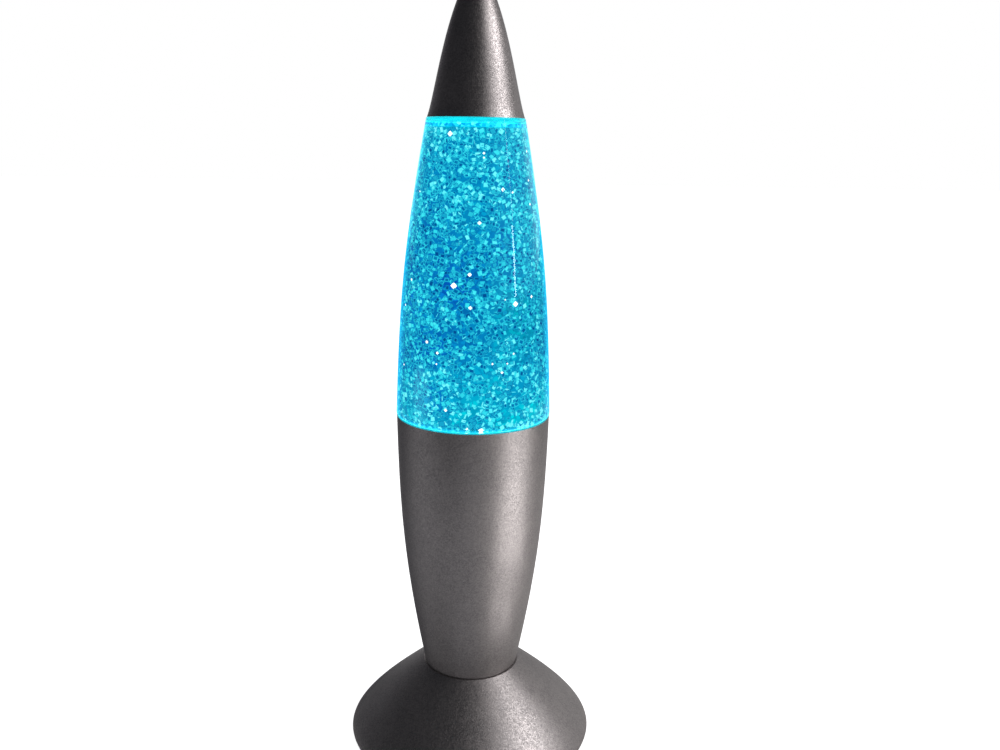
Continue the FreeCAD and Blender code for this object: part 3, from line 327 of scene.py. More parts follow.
@dataclass(frozen=True)
class MetallicPaint(Finish):
    """Grey paint full of fine metal grains, under a thin clear coat."""

    light: Colour = (0.46, 0.435, 0.43)
    dark: Colour = (0.21, 0.2, 0.205)
    roughness: float = 0.42
    rough_swing: Span = (-0.08, 0.1)
    grain: float = 0.42 * MM
    fine_stretch: float = 1.6
    fine_share: float = 0.45
    grain_height: float = 0.5
    mottle: float = 9.0 * MM
    mottle_from: Span = (0.35, 0.7)
    mottle_share: float = 0.22
    relief: float = 0.02 * MM

    def paint(self, graph: Graph) -> None:
        """Adds the paint's grains, mottling and coat to its tree."""
        grains = graph.add("ShaderNodeSeparateColor", {"Color": graph.grains(self.grain)})
        fine = graph.noise(self.grain * self.fine_stretch, detail=3.0)
        share = graph.math(
            "MULTIPLY_ADD", grains.outputs[0], 1.0 - self.fine_share,
            graph.math("MULTIPLY", fine, self.fine_share))
        shade = graph.mix(share, self.dark, self.light)
        cloud = graph.span(
            graph.noise(self.mottle, detail=3.0), *self.mottle_from, 0.0, self.mottle_share)
        shade = graph.mix(cloud, shade, self.light)
        smooth, coarse = self.rough_swing
        rough = graph.span(
            grains.outputs[1], 0.0, 1.0, self.roughness + smooth, self.roughness + coarse)
        height = graph.math("MULTIPLY_ADD", grains.outputs[2], self.grain_height, fine)
        graph.surface(
            Base_Color=shade, Metallic=1.0, Roughness=rough, Coat_Weight=0.1, Coat_Roughness=0.35,
            Normal=graph.bump(height, self.relief, strength=0.75))


@dataclass(frozen=True)
class MouldedPlastic(Finish):
    """Moulded plastic with a fine eroded grain."""

    colour: Colour
    roughness: float
    grain: float = 0.35 * MM
    relief: float = 0.015 * MM
    cloud: float = 14.0 * MM
    paler: float = 1.18
    haze: float = 0.004
    rough_swing: float = 0.07

    def paint(self, graph: Graph) -> None:
        """Adds the moulded grain and its slight shading to its tree."""
        grain = graph.noise(self.grain, detail=4.0)
        cloud = graph.noise(self.cloud)
        paler = tuple(min(1.0, part * self.paler + self.haze) for part in self.colour)
        shade = graph.mix(graph.math("MULTIPLY", grain, cloud), self.colour, paler)
        smooth, coarse = self.roughness - self.rough_swing, self.roughness + self.rough_swing
        rough = graph.span(grain, *MIDDLE, smooth, coarse)
        graph.surface(
            Base_Color=shade, Roughness=rough, Normal=graph.bump(grain, self.relief, strength=0.6))


@dataclass(frozen=True)
class PlatedMetal(Finish):
    """Plated or turned metal with fine tool marks round the axis."""

    colour: Colour
    roughness: float = 0.28
    rough_swing: Span = (-0.08, 0.12)
    marks: Place = (300.0, 300.0, 9000.0)
    relief: float = 0.01 * MM
    tarnish: float = 5.0 * MM
    tarnish_from: Span = (0.4, 0.75)
    tarnish_shade: float = 0.72
    tarnish_share: float = 0.6

    def paint(self, graph: Graph) -> None:
        """Adds the tool marks and tarnish to its tree."""
        lines = graph.noise(1.0, detail=3.0, place=graph.place(self.marks))
        tarnish = graph.span(
            graph.noise(self.tarnish, detail=3.0), *self.tarnish_from, 0.0, self.tarnish_share)
        dull = tuple(part * self.tarnish_shade for part in self.colour)
        shade = graph.mix(tarnish, self.colour, dull)
        smooth, coarse = self.rough_swing
        rough = graph.span(lines, *MIDDLE, self.roughness + smooth, self.roughness + coarse)
        graph.surface(
            Base_Color=shade, Metallic=1.0, Roughness=rough,
            Normal=graph.bump(lines, self.relief, strength=0.5))


@dataclass(frozen=True)
class SoftRubber(Finish):
    """Matt rubber or silicone with dust in its grain."""

    colour: Colour = (0.03, 0.03, 0.03)
    dust: Colour = (0.12, 0.115, 0.11)
    roughness: float = 0.8
    grain: float = 0.5 * MM
    relief: float = 0.04 * MM
    dust_patch: float = 3.0 * MM
    dust_from: Span = (0.5, 0.8)
    dust_share: float = 0.5

    def paint(self, graph: Graph) -> None:
        """Adds the grain and dust to its tree."""
        grain = graph.noise(self.grain, detail=4.0)
        dust = graph.span(
            graph.noise(self.dust_patch, detail=5.0), *self.dust_from, 0.0, self.dust_share)
        graph.surface(
            Base_Color=graph.mix(dust, self.colour, self.dust), Roughness=self.roughness,
            Sheen_Weight=0.2, Normal=graph.bump(grain, self.relief, strength=0.5))


@dataclass(frozen=True)
class BoardMask(Finish):
    """Solder mask over copper traces."""

    colour: Colour = (0.015, 0.13, 0.055)
    trace: Colour = (0.03, 0.22, 0.1)
    pitch: float = 2.2 * MM
    trace_width: float = 0.05
    relief: float = 0.03 * MM

    def paint(self, graph: Graph) -> None:
        """Adds the raised traces to its tree."""
        tiles = graph.add("ShaderNodeTexBrick", {
            "Vector": graph.place(), "Scale": 1.0 / self.pitch, "Mortar Size": self.trace_width,
            "Color1": (0.0, 0.0, 0.0), "Color2": (0.0, 0.0, 0.0), "Mortar": (1.0, 1.0, 1.0)})
        traces = tiles.outputs["Fac"]
        graph.surface(
            Base_Color=graph.mix(traces, self.colour, self.trace), Roughness=0.3, Coat_Weight=0.4,
            Normal=graph.bump(traces, self.relief, strength=0.5))


@dataclass(frozen=True)
class ClearPlastic(Finish):
    """Clear to milky plastic that lets light through."""

    colour: Colour = (0.85, 0.93, 0.96)
    roughness: float = 0.3
    through: float = 0.7
    milk: Colour = (0.95, 0.97, 0.98)
    milk_from: Span = (0.35, 0.7)
    milk_share: float = 0.5
    cloud: float = 2.5 * MM
    relief: float = 0.02 * MM

    def paint(self, graph: Graph) -> None:
        """Adds the milky clouds to its tree."""
        cloud = graph.noise(self.cloud, detail=3.0)
        share = graph.span(cloud, *self.milk_from, 0.0, self.milk_share)
        milk = graph.mix(share, self.colour, self.milk)
        graph.surface(
            Base_Color=milk, Roughness=self.roughness, Transmission_Weight=self.through, IOR=1.49,
            Normal=graph.bump(cloud, self.relief, strength=0.3))


@dataclass(frozen=True)
class LampPackage(Finish):
    """White light package whose dish glows."""

    case: Colour = (0.86, 0.87, 0.84)
    dim: Colour = (0.0, 0.25, 0.6)
    glow: Colour = (0.05, 0.75, 1.0)
    strength: float = 3.0
    spot: float = 1.2 * MM
    spot_from: Span = (0.35, 0.65)

    def paint(self, graph: Graph) -> None:
        """Adds the lit dish to its tree."""
        spots = graph.noise(self.spot, detail=1.0)
        lit = graph.mix(graph.span(spots, *self.spot_from), self.dim, self.glow)
        graph.surface(
            Base_Color=self.case, Roughness=0.35, Emission_Color=lit, Emission_Strength=self.strength)


@dataclass(frozen=True)
class WetGlass(Finish):
    """Polished glass with liquid against its inner side, so only its outer side bends light."""

    ior: float = 1.5
    mirror: Colour = (0.5, 0.9, 1.0)
    clear: Colour = (0.9, 0.98, 1.0)
    # Painted light from here on: glow of the lamp's light in the glass, and tints for the band at the
    # shoulder
    glow: Colour = (0.01, 0.72, 0.79)
    painted_shoulder_tint: Colour = (0.001, 0.14, 0.12)
    under: Colour = (0.001, 0.47, 0.58)
    rim_glow_low: Colour = (0.0, 0.45, 0.8)
    rim_glow_high: Colour = (0.005, 0.62, 0.82)
    rim_reach: Span = (0.58, 0.97)
    rim_rise: Span = (190.0 * MM, 265.0 * MM)
    spigot: Span = (139.0 * MM, 154.0 * MM)
    spigot_loss: float = 0.75
    heel: Span = (154.8 * MM, 157.0 * MM)
    deep_from: Span = (274.9 * MM, 275.6 * MM)
    shoulder: Span = (276.5 * MM, 277.6 * MM)
    shoulder_loss: float = 0.4
    neck: Span = (278.4 * MM, 283.0 * MM)
    neck_loss: float = 0.72
    glow_streaks: Place = (60.0, 60.0, 1400.0)
    streak_from: Span = (0.2, 0.7)
    streak_low: float = 0.8
    flake: float = 1.3 * MM

    def paint(self, graph: Graph) -> None:
        """Adds the polished outer side, its painted glow and glitter, and the wet inner side to its
        tree.
        """
        place = graph.place()
        height = graph.axes(place)["Z"]
        low = graph.span(height, self.heel[1], self.heel[0])
        low = graph.math("MULTIPLY", low, graph.span(height, *self.spigot, 1.0 - self.spigot_loss, 1.0))
        high = graph.span(height, *self.shoulder)
        glow_streaks = graph.noise(1.0, place=graph.place(self.glow_streaks))
        glow_streaks = graph.span(glow_streaks, *self.streak_from, self.streak_low, 1.0)
        edges = graph.math("MULTIPLY", graph.math("ADD", low, high), glow_streaks)
        # Painted glow along the silhouette, bluer low down and cyan higher up
        facing = graph.add("ShaderNodeLayerWeight", {"Blend": 0.5}).outputs["Facing"]
        rim = graph.span(facing, *self.rim_reach)
        side = graph.mix(graph.span(height, *self.rim_rise), self.rim_glow_low, self.rim_glow_high)
        # Painted light: the glass at the shoulder and the band under it is tinted cyan like the lamp's
        # light
        tint = graph.mix(high, self.under, self.painted_shoulder_tint)
        neck = graph.span(height, *self.neck)
        above = graph.span(height, *self.deep_from)
        tint = graph.mix(graph.math("SUBTRACT", above, neck), self.clear, tint)
        loss = graph.math("MULTIPLY_ADD", high, -self.shoulder_loss, 1.0)
        below = graph.math("SUBTRACT", 1.0, high)
        rim = graph.math("MULTIPLY", rim, below)
        strength = graph.math("MULTIPLY_ADD", loss, edges, rim, clamp=True)
        neck_left = graph.math("MULTIPLY_ADD", neck, -self.neck_loss, 1.0)
        strength = graph.math("MULTIPLY", strength, neck_left)
        # Painted glitter glow in the glass, in the band where the lit middle ends
        strip = graph.math("MULTIPLY", above, below)
        cells = graph.add("ShaderNodeSeparateColor", {"Color": graph.grains(self.flake, place)})
        flakes = graph.ramp(cells.outputs[0], GlitterFoil.tones)
        shine = graph.mix(strip, graph.mix(edges, side, self.glow), flakes)
        strength = graph.math("MAXIMUM", strength, strip)
        out = graph.vector("NORMALIZE", graph.vector("MULTIPLY", place, (1.0, 1.0, 0.0)))
        glass = graph.add("ShaderNodeBsdfPrincipled", {
            "Base Color": tint, "Roughness": 0.0, "Transmission Weight": 1.0, "IOR": self.ior,
            "Specular Tint": self.mirror, "Emission Color": shine, "Emission Strength": strength,
            "Normal": self.turned(graph, out)})
        wet = graph.add("ShaderNodeBsdfTransparent", {"Color": (1.0, 1.0, 1.0)})
        both = graph.add("ShaderNodeMixShader", {
            0: self.inner(graph, out), 1: glass.outputs[0], 2: wet.outputs[0]})
        graph.end(both.outputs[0])

    def turned(self, graph: Graph, out: bpy.types.NodeSocket) -> bpy.types.NodeSocket:
        """Gives the surface's direction as that of an exactly turned form.

        Args:
            graph: the glass's node tree.
            out: the direction away from the bottle's axis.

        Returns:
            The direction's socket.
        """
        normal = graph.add("ShaderNodeNewGeometry").outputs["Normal"]
        flat = graph.vector("MULTIPLY", out, graph.vector("DOT_PRODUCT", normal, out))
        upright = graph.vector("MULTIPLY", normal, (0.0, 0.0, 1.0))
        return graph.vector("NORMALIZE", graph.vector("ADD", flat, upright))

    def inner(self, graph: Graph, out: bpy.types.NodeSocket) -> bpy.types.NodeSocket:
        """Gives 1 on the side that faces the bottle's axis, and else 0.

        Args:
            graph: the glass's node tree.
            out: the direction away from the bottle's axis.

        Returns:
            The value's socket.
        """
        shape = graph.add("ShaderNodeNewGeometry").outputs
        side = graph.math("MULTIPLY_ADD", shape["Backfacing"], -2.0, 1.0)
        away = graph.vector("DOT_PRODUCT", shape["True Normal"], out)
        return graph.math("LESS_THAN", graph.math("MULTIPLY", away, side), 0.0)


@dataclass(frozen=True)
class ClearLiquid(Finish):
    """Clear liquid whose border with the glass can't be seen, and whose depth colours the light."""

    pale: Colour = (0.97, 1.0, 1.0)
    cloud: float = 20 * MM
    tint: Colour = (0.1, 0.8, 1.0)
    density: float = 25.0

    def paint(self, graph: Graph) -> None:
        """Adds the liquid's unseen surface and its depth to its tree."""
        cloud = graph.noise(self.cloud, detail=1.0)
        shade = graph.mix(cloud, self.pale, (1.0, 1.0, 1.0))
        skin = graph.add("ShaderNodeBsdfTransparent", {"Color": shade})
        graph.end(skin.outputs[0])
        depth = graph.add("ShaderNodeVolumeAbsorption", {"Color": self.tint, "Density": self.density})
        graph.end(depth.outputs[0], Side.INSIDE)


@dataclass(frozen=True)
class LiquidLight:
    """How the lamp's light spreads in the liquid, for all that shines in it."""

    # Heights, and how bright the liquid is there
    heights: tuple[tuple[float, float], ...] = (
        (143 * MM, 1.0), (158 * MM, 0.88), (172 * MM, 0.64), (188 * MM, 0.43), (215 * MM, 0.42),
        (245 * MM, 0.55), (270 * MM, 0.7), (276 * MM, 1.0))
    side: float = 0.135
    reach: float = 30 * MM
    clouds: float = 26 * MM
    swing: float = 0.2

    def amount(self, graph: Graph) -> bpy.types.NodeSocket:
        """Gives how brightly each place is lit.

        Args:
            graph: the node tree that asks.

        Returns:
            The amount's socket, about 0 to 1.
        """
        place = graph.place()
        axes = graph.axes(place)
        low, high = self.heights[0][0], self.heights[-1][0]
        level = graph.add("ShaderNodeMapRange", {
            "Value": axes["Z"], "From Min": low, "From Max": high}).outputs[0]
        stops = tuple(
            ((height - low) / (high - low), (part, part, part)) for height, part in self.heights)
        upright = graph.ramp(level, stops)
        cloud = graph.noise(self.clouds, place=place)
        cloud = graph.span(cloud, *MIDDLE, -self.swing, self.swing)
        right = graph.span(axes["X"], -self.reach, self.reach, -self.side, self.side)
        return graph.math("ADD", graph.math("ADD", upright, cloud), right)


@dataclass(frozen=True)
class Patch:
    """A patch of the liquid's painted glow in another tone."""

    place: Place
    reach: float
    colour: Colour
    share: float = 0.75


@dataclass(frozen=True)
class LitDepth(Finish):
    """The lit middle of the liquid, its light painted as a blue glow with far-off glitter in it."""

    unlit: Colour = (0.0, 0.02, 0.05)
    tones: Stops = (
        (0.0, (0.0, 0.12, 0.5)),
        (0.35, (0.0, 0.21, 0.53)),
        (0.7, (0.0, 0.35, 0.59)),
        (1.0, (0.0, 0.6, 0.72)),
    )
    # Painted sparkle of the far-off glitter, as shares of the glow
    flicker: Stops = (
        (0.0, (0.68, 0.72, 0.8)),
        (0.22, (0.88, 0.88, 0.92)),
        (0.48, (1.0, 1.0, 1.0)),
        (0.82, (1.35, 1.35, 1.15)),
    )
    patches: tuple[Patch, ...] = (
        Patch((22 * MM, -18 * MM, 200 * MM), 30 * MM, (0.0, 0.4, 0.46)),
        Patch((-9 * MM, -26 * MM, 212 * MM), 12 * MM, (0.0, 0.09, 0.66)),
        Patch((-27 * MM, -12 * MM, 206 * MM), 15 * MM, (0.0, 0.16, 0.66)),
        Patch((-17 * MM, -23 * MM, 186 * MM), 12 * MM, (0.0, 0.11, 0.62)),
        Patch((-15 * MM, -25 * MM, 168 * MM), 10 * MM, (0.0, 0.11, 0.62)),
    )
    flake: float = 1.7 * MM

    def paint(self, graph: Graph) -> None:
        """Adds the painted spread of light, its patches and the far-off glitter's flicker to its tree.
        """
        place = graph.place()
        shade = graph.ramp(LiquidLight().amount(graph), self.tones)
        for patch in self.patches:
            far = graph.vector("DISTANCE", place, patch.place)
            share = graph.span(far, patch.reach, 0.0, 0.0, patch.share)
            shade = graph.mix(share, shade, patch.colour)
        cells = graph.add("ShaderNodeSeparateColor", {"Color": graph.grains(self.flake, place)})
        flicker = graph.ramp(cells.outputs[0], self.flicker, Steps.SUDDEN)
        lit = graph.mix(1.0, shade, flicker, "MULTIPLY")
        graph.shine(lit, self.unlit, roughness=0.6)


@dataclass(frozen=True)
class GlitterFoil(Finish):
    """Foil flakes with painted glow: dark ones get painted highlit edges, bright ones painted shaded
    edges.
    """

    unlit: Colour = (0.0, 0.02, 0.03)
    tones: Stops = (
        (0.0, (0.0, 0.065, 0.28)),
        (0.2, (0.0, 0.16, 0.42)),
        (0.4, (0.003, 0.32, 0.58)),
        (0.62, (0.02, 0.6, 0.77)),
        (0.84, (0.045, 0.88, 0.97)),
        (1.0, (0.2, 1.04, 1.08)),
    )
    dark_below: Span = (0.26, 0.44)
    dark_heart: Span = (0.2, 0.42)
    bright_heart: Span = (0.37, 0.5)
    edge_highlight_lift: float = 0.42
    edge_shade_drop: float = -0.42
    swing: float = 0.5

    def paint(self, graph: Graph) -> None:
        """Adds each flake's painted glow and the painted highlight and shade at its edge to its tree.
        """
        tone = graph.add("ShaderNodeAttribute", attribute_name="tone").outputs["Fac"]
        light = graph.math("SUBTRACT", LiquidLight().amount(graph), 0.5)
        own = graph.math("MULTIPLY_ADD", light, self.swing, tone)
        corner = graph.add("ShaderNodeUVMap", uv_map="flake").outputs["UV"]
        off = graph.axes(graph.vector("ABSOLUTE", graph.vector("SUBTRACT", corner, (0.5, 0.5, 0.0))))
        out = graph.math("MAXIMUM", off["X"], off["Y"])
        # Painted highlight on the edges of dark flakes, painted shade on the edges of bright ones
        dark = graph.span(own, *self.dark_below, 1.0, 0.0)
        lift = graph.math("MULTIPLY", dark, graph.span(out, *self.dark_heart, 0.0, self.edge_highlight_lift))
        bright = graph.math("SUBTRACT", 1.0, dark)
        drop = graph.math("MULTIPLY", bright, graph.span(out, *self.bright_heart, 0.0, self.edge_shade_drop))
        shown = graph.math("ADD", own, graph.math("ADD", lift, drop), clamp=True)
        graph.shine(graph.ramp(shown, self.tones), self.unlit, roughness=0.5)


@dataclass(frozen=True)
class Glint(Finish):
    """A painted glint: a glowing flake that stands for one throwing light straight at the viewer."""

    unlit: Colour = (0.05, 0.05, 0.05)
    heart: Colour = (1.6, 1.6, 1.6)
    tip: Colour = (0.95, 1.3, 1.3)
    spot: float = 2.0 * MM
    spot_from: Span = (0.35, 0.55)

    def paint(self, graph: Graph) -> None:
        """Adds the glint's uneven brightness to its tree."""
        lit = graph.mix(graph.span(graph.noise(self.spot), *self.spot_from), self.tip, self.heart)
        graph.shine(lit, self.unlit, roughness=0.4)


@dataclass(frozen=True)
class PaleFloor(Finish):
    """Matt white table that the camera sees lifted to white, with the lamp's shadow kept."""

    colour: Colour = (0.8, 0.8, 0.8)
    pale: Colour = (0.86, 0.86, 0.86)
    cloud: float = 40 * MM
    cloud_share: float = 0.04
    lift: float = 0.86

    def paint(self, graph: Graph) -> None:
        """Adds the matt white, its lift and its darker painted mirror image to its tree."""
        cloud = graph.math("MULTIPLY", graph.noise(self.cloud), self.cloud_share)
        shade = graph.mix(cloud, self.colour, self.pale)
        path = graph.add("ShaderNodeLightPath").outputs
        through = path["Is Transmission Ray"]
        straight = graph.math("ADD", path["Is Camera Ray"], through, clamp=True)
        mirrored = graph.math("SUBTRACT", path["Is Glossy Ray"], through, clamp=True)
        table = graph.add("ShaderNodeBsdfPrincipled", {
            "Base Color": shade, "Roughness": 0.9, "Specular IOR Level": 0.1,
            "Emission Color": (1.0, 1.0, 1.0),
            "Emission Strength": graph.math("MULTIPLY", straight, self.lift)})
        # Painted reflection: what the lamp's paint and glass see of the table
        image = graph.add("ShaderNodeEmission", {"Color": Room().table(graph)})
        both = graph.add("ShaderNodeMixShader", {0: mirrored, 1: table.outputs[0], 2: image.outputs[0]})
        graph.end(both.outputs[0])


@dataclass(frozen=True)
class Room:
    """Brightness of the dim room and the table's painted mirror image, as the lamp's paint and glass
    mirror them.
    """

    wall: Colour = (0.056, 0.056, 0.064)
    right_wall: Colour = (0.26, 0.255, 0.258)
    back_wall: Colour = (0.15, 0.15, 0.165)
    right_back_wall: Colour = (0.79, 0.776, 0.77)
    ceiling: Colour = (0.03, 0.031, 0.036)
    right_ceiling: Colour = (0.2, 0.197, 0.198)
    rear: Colour = (0.42, 0.415, 0.42)
    right_from: Span = (0.3, 0.85)
    back_from: Span = (0.35, 0.75)
    rear_from: Span = (0.8, 0.97)
    ceiling_from: Span = (0.2, 0.45)
    table_front: Colour = (0.376, 0.372, 0.388)
    table_back: Colour = (0.1, 0.1, 0.11)
    table_right: Colour = (0.47, 0.455, 0.45)
    table_back_from: Span = (-0.1, 0.75)
    table_right_from: Span = (-0.1, 0.8)
    table_reach: Span = (0.5, 0.75)
    # Painted shadow of the lamp on the table's mirror image
    lamp_shade: Span = (0.05, 0.2)
    lamp_shade_turn: Span = (-0.9, -0.2)
    lamp_shade_left: float = 0.5
    lamp_shade_right: float = 0.92
    # Painted shadow of the viewer on the table's mirror image
    viewer: Place = (-0.28, -0.43, 0.0)
    viewer_reach: Span = (0.06, 0.25)
    viewer_shade: float = 0.1
    # A painted spot of light on the table's mirror image, far to the left
    painted_light_spot: Place = (-0.88, -0.12, 0.0)
    painted_light_spot_reach: Span = (0.34, 0.12)
    painted_light_spot_colour: Colour = (0.72, 0.72, 0.74)

    def walls(self, graph: Graph, way: bpy.types.NodeSocket) -> bpy.types.NodeSocket:
        """Gives the room's colour in a direction.

        Args:
            graph: the node tree that asks.
            way: the direction from the lamp.

        Returns:
            The colour's socket.
        """
        axes = graph.axes(way)
        right = graph.span(axes["X"], *self.right_from)
        back = graph.span(axes["Y"], *self.back_from)
        wall = graph.mix(
            right, graph.mix(back, self.wall, self.back_wall),
            graph.mix(back, self.right_wall, self.right_back_wall))
        above = graph.mix(right, self.ceiling, self.right_ceiling)
        shade = graph.mix(graph.span(axes["Z"], *self.ceiling_from), wall, above)
        return graph.mix(graph.span(axes["Y"], *self.rear_from), shade, self.rear)

    def table(self, graph: Graph) -> bpy.types.NodeSocket:
        """Gives the table's painted mirror image: shaded by the lamp and viewer, darker behind and far
        off.

        Args:
            graph: the table's node tree.

        Returns:
            The colour's socket.
        """
        place = graph.place()
        axes = graph.axes(graph.vector("NORMALIZE", place))
        far = graph.vector("LENGTH", place)
        back = graph.span(axes["Y"], *self.table_back_from)
        shade = graph.mix(back, self.table_front, self.table_back)
        shade = graph.mix(graph.span(axes["X"], *self.table_right_from), shade, self.table_right)
        shade = graph.mix(graph.span(axes["Y"], *self.rear_from), shade, self.rear)
        close = graph.span(
            axes["X"], *self.lamp_shade_turn, self.lamp_shade_left, self.lamp_shade_right)
        near = graph.span(far, *self.lamp_shade, close, 1.0)
        before = graph.vector("DISTANCE", place, self.viewer)
        before = graph.span(before, *self.viewer_reach, self.viewer_shade, 1.0)
        shade = graph.mix(graph.math("MULTIPLY", near, before), (0.0, 0.0, 0.0), shade)
        shade = graph.mix(graph.span(far, *self.table_reach), shade, self.wall)
        painted_light_spot = graph.span(graph.vector("DISTANCE", place, self.painted_light_spot), *self.painted_light_spot_reach)
        return graph.mix(painted_light_spot, shade, self.painted_light_spot_colour)


PAINT = MetallicPaint("grey_metallic_paint")
# The same grey paint on the foot, rougher, and in lighter colours as painted light so the foot shows
# brighter
ROUGH_PAINTED_LIT_FOOT_PAINT = MetallicPaint(
    "grey_foot_paint_rough_painted_lit", light=(0.525, 0.498, 0.491), dark=(0.23, 0.22, 0.225), roughness=0.46)
ZINC = PlatedMetal("zinc_screws", (0.62, 0.62, 0.63))
NICKEL = PlatedMetal("magnet_nickel", (0.66, 0.65, 0.63), 0.2)
COMPONENT = MouldedPlastic("component_black", (0.03, 0.03, 0.03), 0.4, 0.2 * MM)
SHEATH = SoftRubber("lead_sheath", (0.06, 0.06, 0.06), (0.12, 0.12, 0.12), 0.5)
STIRRER = ClearPlastic("stirrer_plastic")
FINISHES: dict[str, Finish] = {
    "foot_shell": ROUGH_PAINTED_LIT_FOOT_PAINT,
    "body_shell": PAINT,
    "nose_cap": PAINT,
    "bottom_plate": MouldedPlastic("plate_plastic", (0.045, 0.045, 0.05), 0.55),
    "plate_screws": ZINC,
    "rubber_pads": SoftRubber("pad_rubber"),
    "control_board": BoardMask("green_mask"),
    "board_parts": COMPONENT,
    "board_screws": ZINC,
    "dc_socket": MouldedPlastic("socket_black", (0.02, 0.02, 0.02), 0.45),
    "switch_body": COMPONENT,
    "button_cap": MouldedPlastic("button_black", (0.025, 0.025, 0.028), 0.3, 0.5 * MM),
    "button_spring": PlatedMetal("spring_wire", (0.6, 0.6, 0.6), 0.22),
    "body_screws": ZINC,
    "light_carrier": MouldedPlastic("carrier_white", (0.8, 0.8, 0.78), 0.5),
    "carrier_screws": ZINC,
    "led_board": BoardMask("white_mask", (0.78, 0.78, 0.78), (0.9, 0.9, 0.88)),
    "led_lamps": LampPackage("lamp_package"),
    "light_diffuser": ClearPlastic("frosted_acrylic", (0.88, 0.95, 0.97), 0.6, 0.5),
    "seat_ring": SoftRubber("ring_silicone", (0.6, 0.62, 0.63), (0.7, 0.7, 0.7), 0.6),
    "motor_can": PlatedMetal("motor_steel", (0.6, 0.6, 0.6), 0.25),
    "motor_end_cap": MouldedPlastic("motor_plastic", (0.72, 0.69, 0.62), 0.5),
    "motor_bush": PlatedMetal("bush_brass", (0.78, 0.6, 0.28), 0.3),
    "motor_screws": ZINC,
    "motor_lead": SHEATH,
    "led_lead": SHEATH,
    "motor_shaft": PlatedMetal("ground_steel", (0.7, 0.7, 0.7), 0.18),
    "magnet_holder": MouldedPlastic("holder_plastic", (0.06, 0.06, 0.06), 0.5),
    "drive_magnets": NICKEL,
    "glass_bottle": WetGlass("bottle_glass"),
    "glitter_liquid": ClearLiquid("clear_liquid"),
    "bottle_closure": MouldedPlastic("closure_white", (0.83, 0.83, 0.82), 0.5),
    "closure_seal": SoftRubber("seal_rubber", (0.66, 0.66, 0.66), (0.75, 0.75, 0.75), 0.7),
    "stirrer_seat": STIRRER,
    "pin_cap": STIRRER,
    "stirrer_wheel": STIRRER,
    "stirrer_magnets": NICKEL,
    "cap_sleeve": MouldedPlastic("sleeve_plastic", (0.11, 0.11, 0.11), 0.55),
}


@dataclass
class Wardrobe:
    """Gives every CAD node its finish."""

    nodes: dict[str, bpy.types.Object]
    made: dict[str, bpy.types.Material] = field(default_factory=dict)

    def material(self, finish: Finish) -> bpy.types.Material:
        """Gives a finish's material, made once.

        Args:
            finish: the finish.

        Returns:
            Its material.
        """
        if finish.name not in self.made:
            self.made[finish.name] = finish.make()
        return self.made[finish.name]

    def dress(self) -> None:
        """Puts each node's finish on its object."""
        for name, obj in self.nodes.items():
            obj.data.materials[0] = self.material(FINISHES[name])
            LOG.info("%s wears %s", name, FINISHES[name].name)


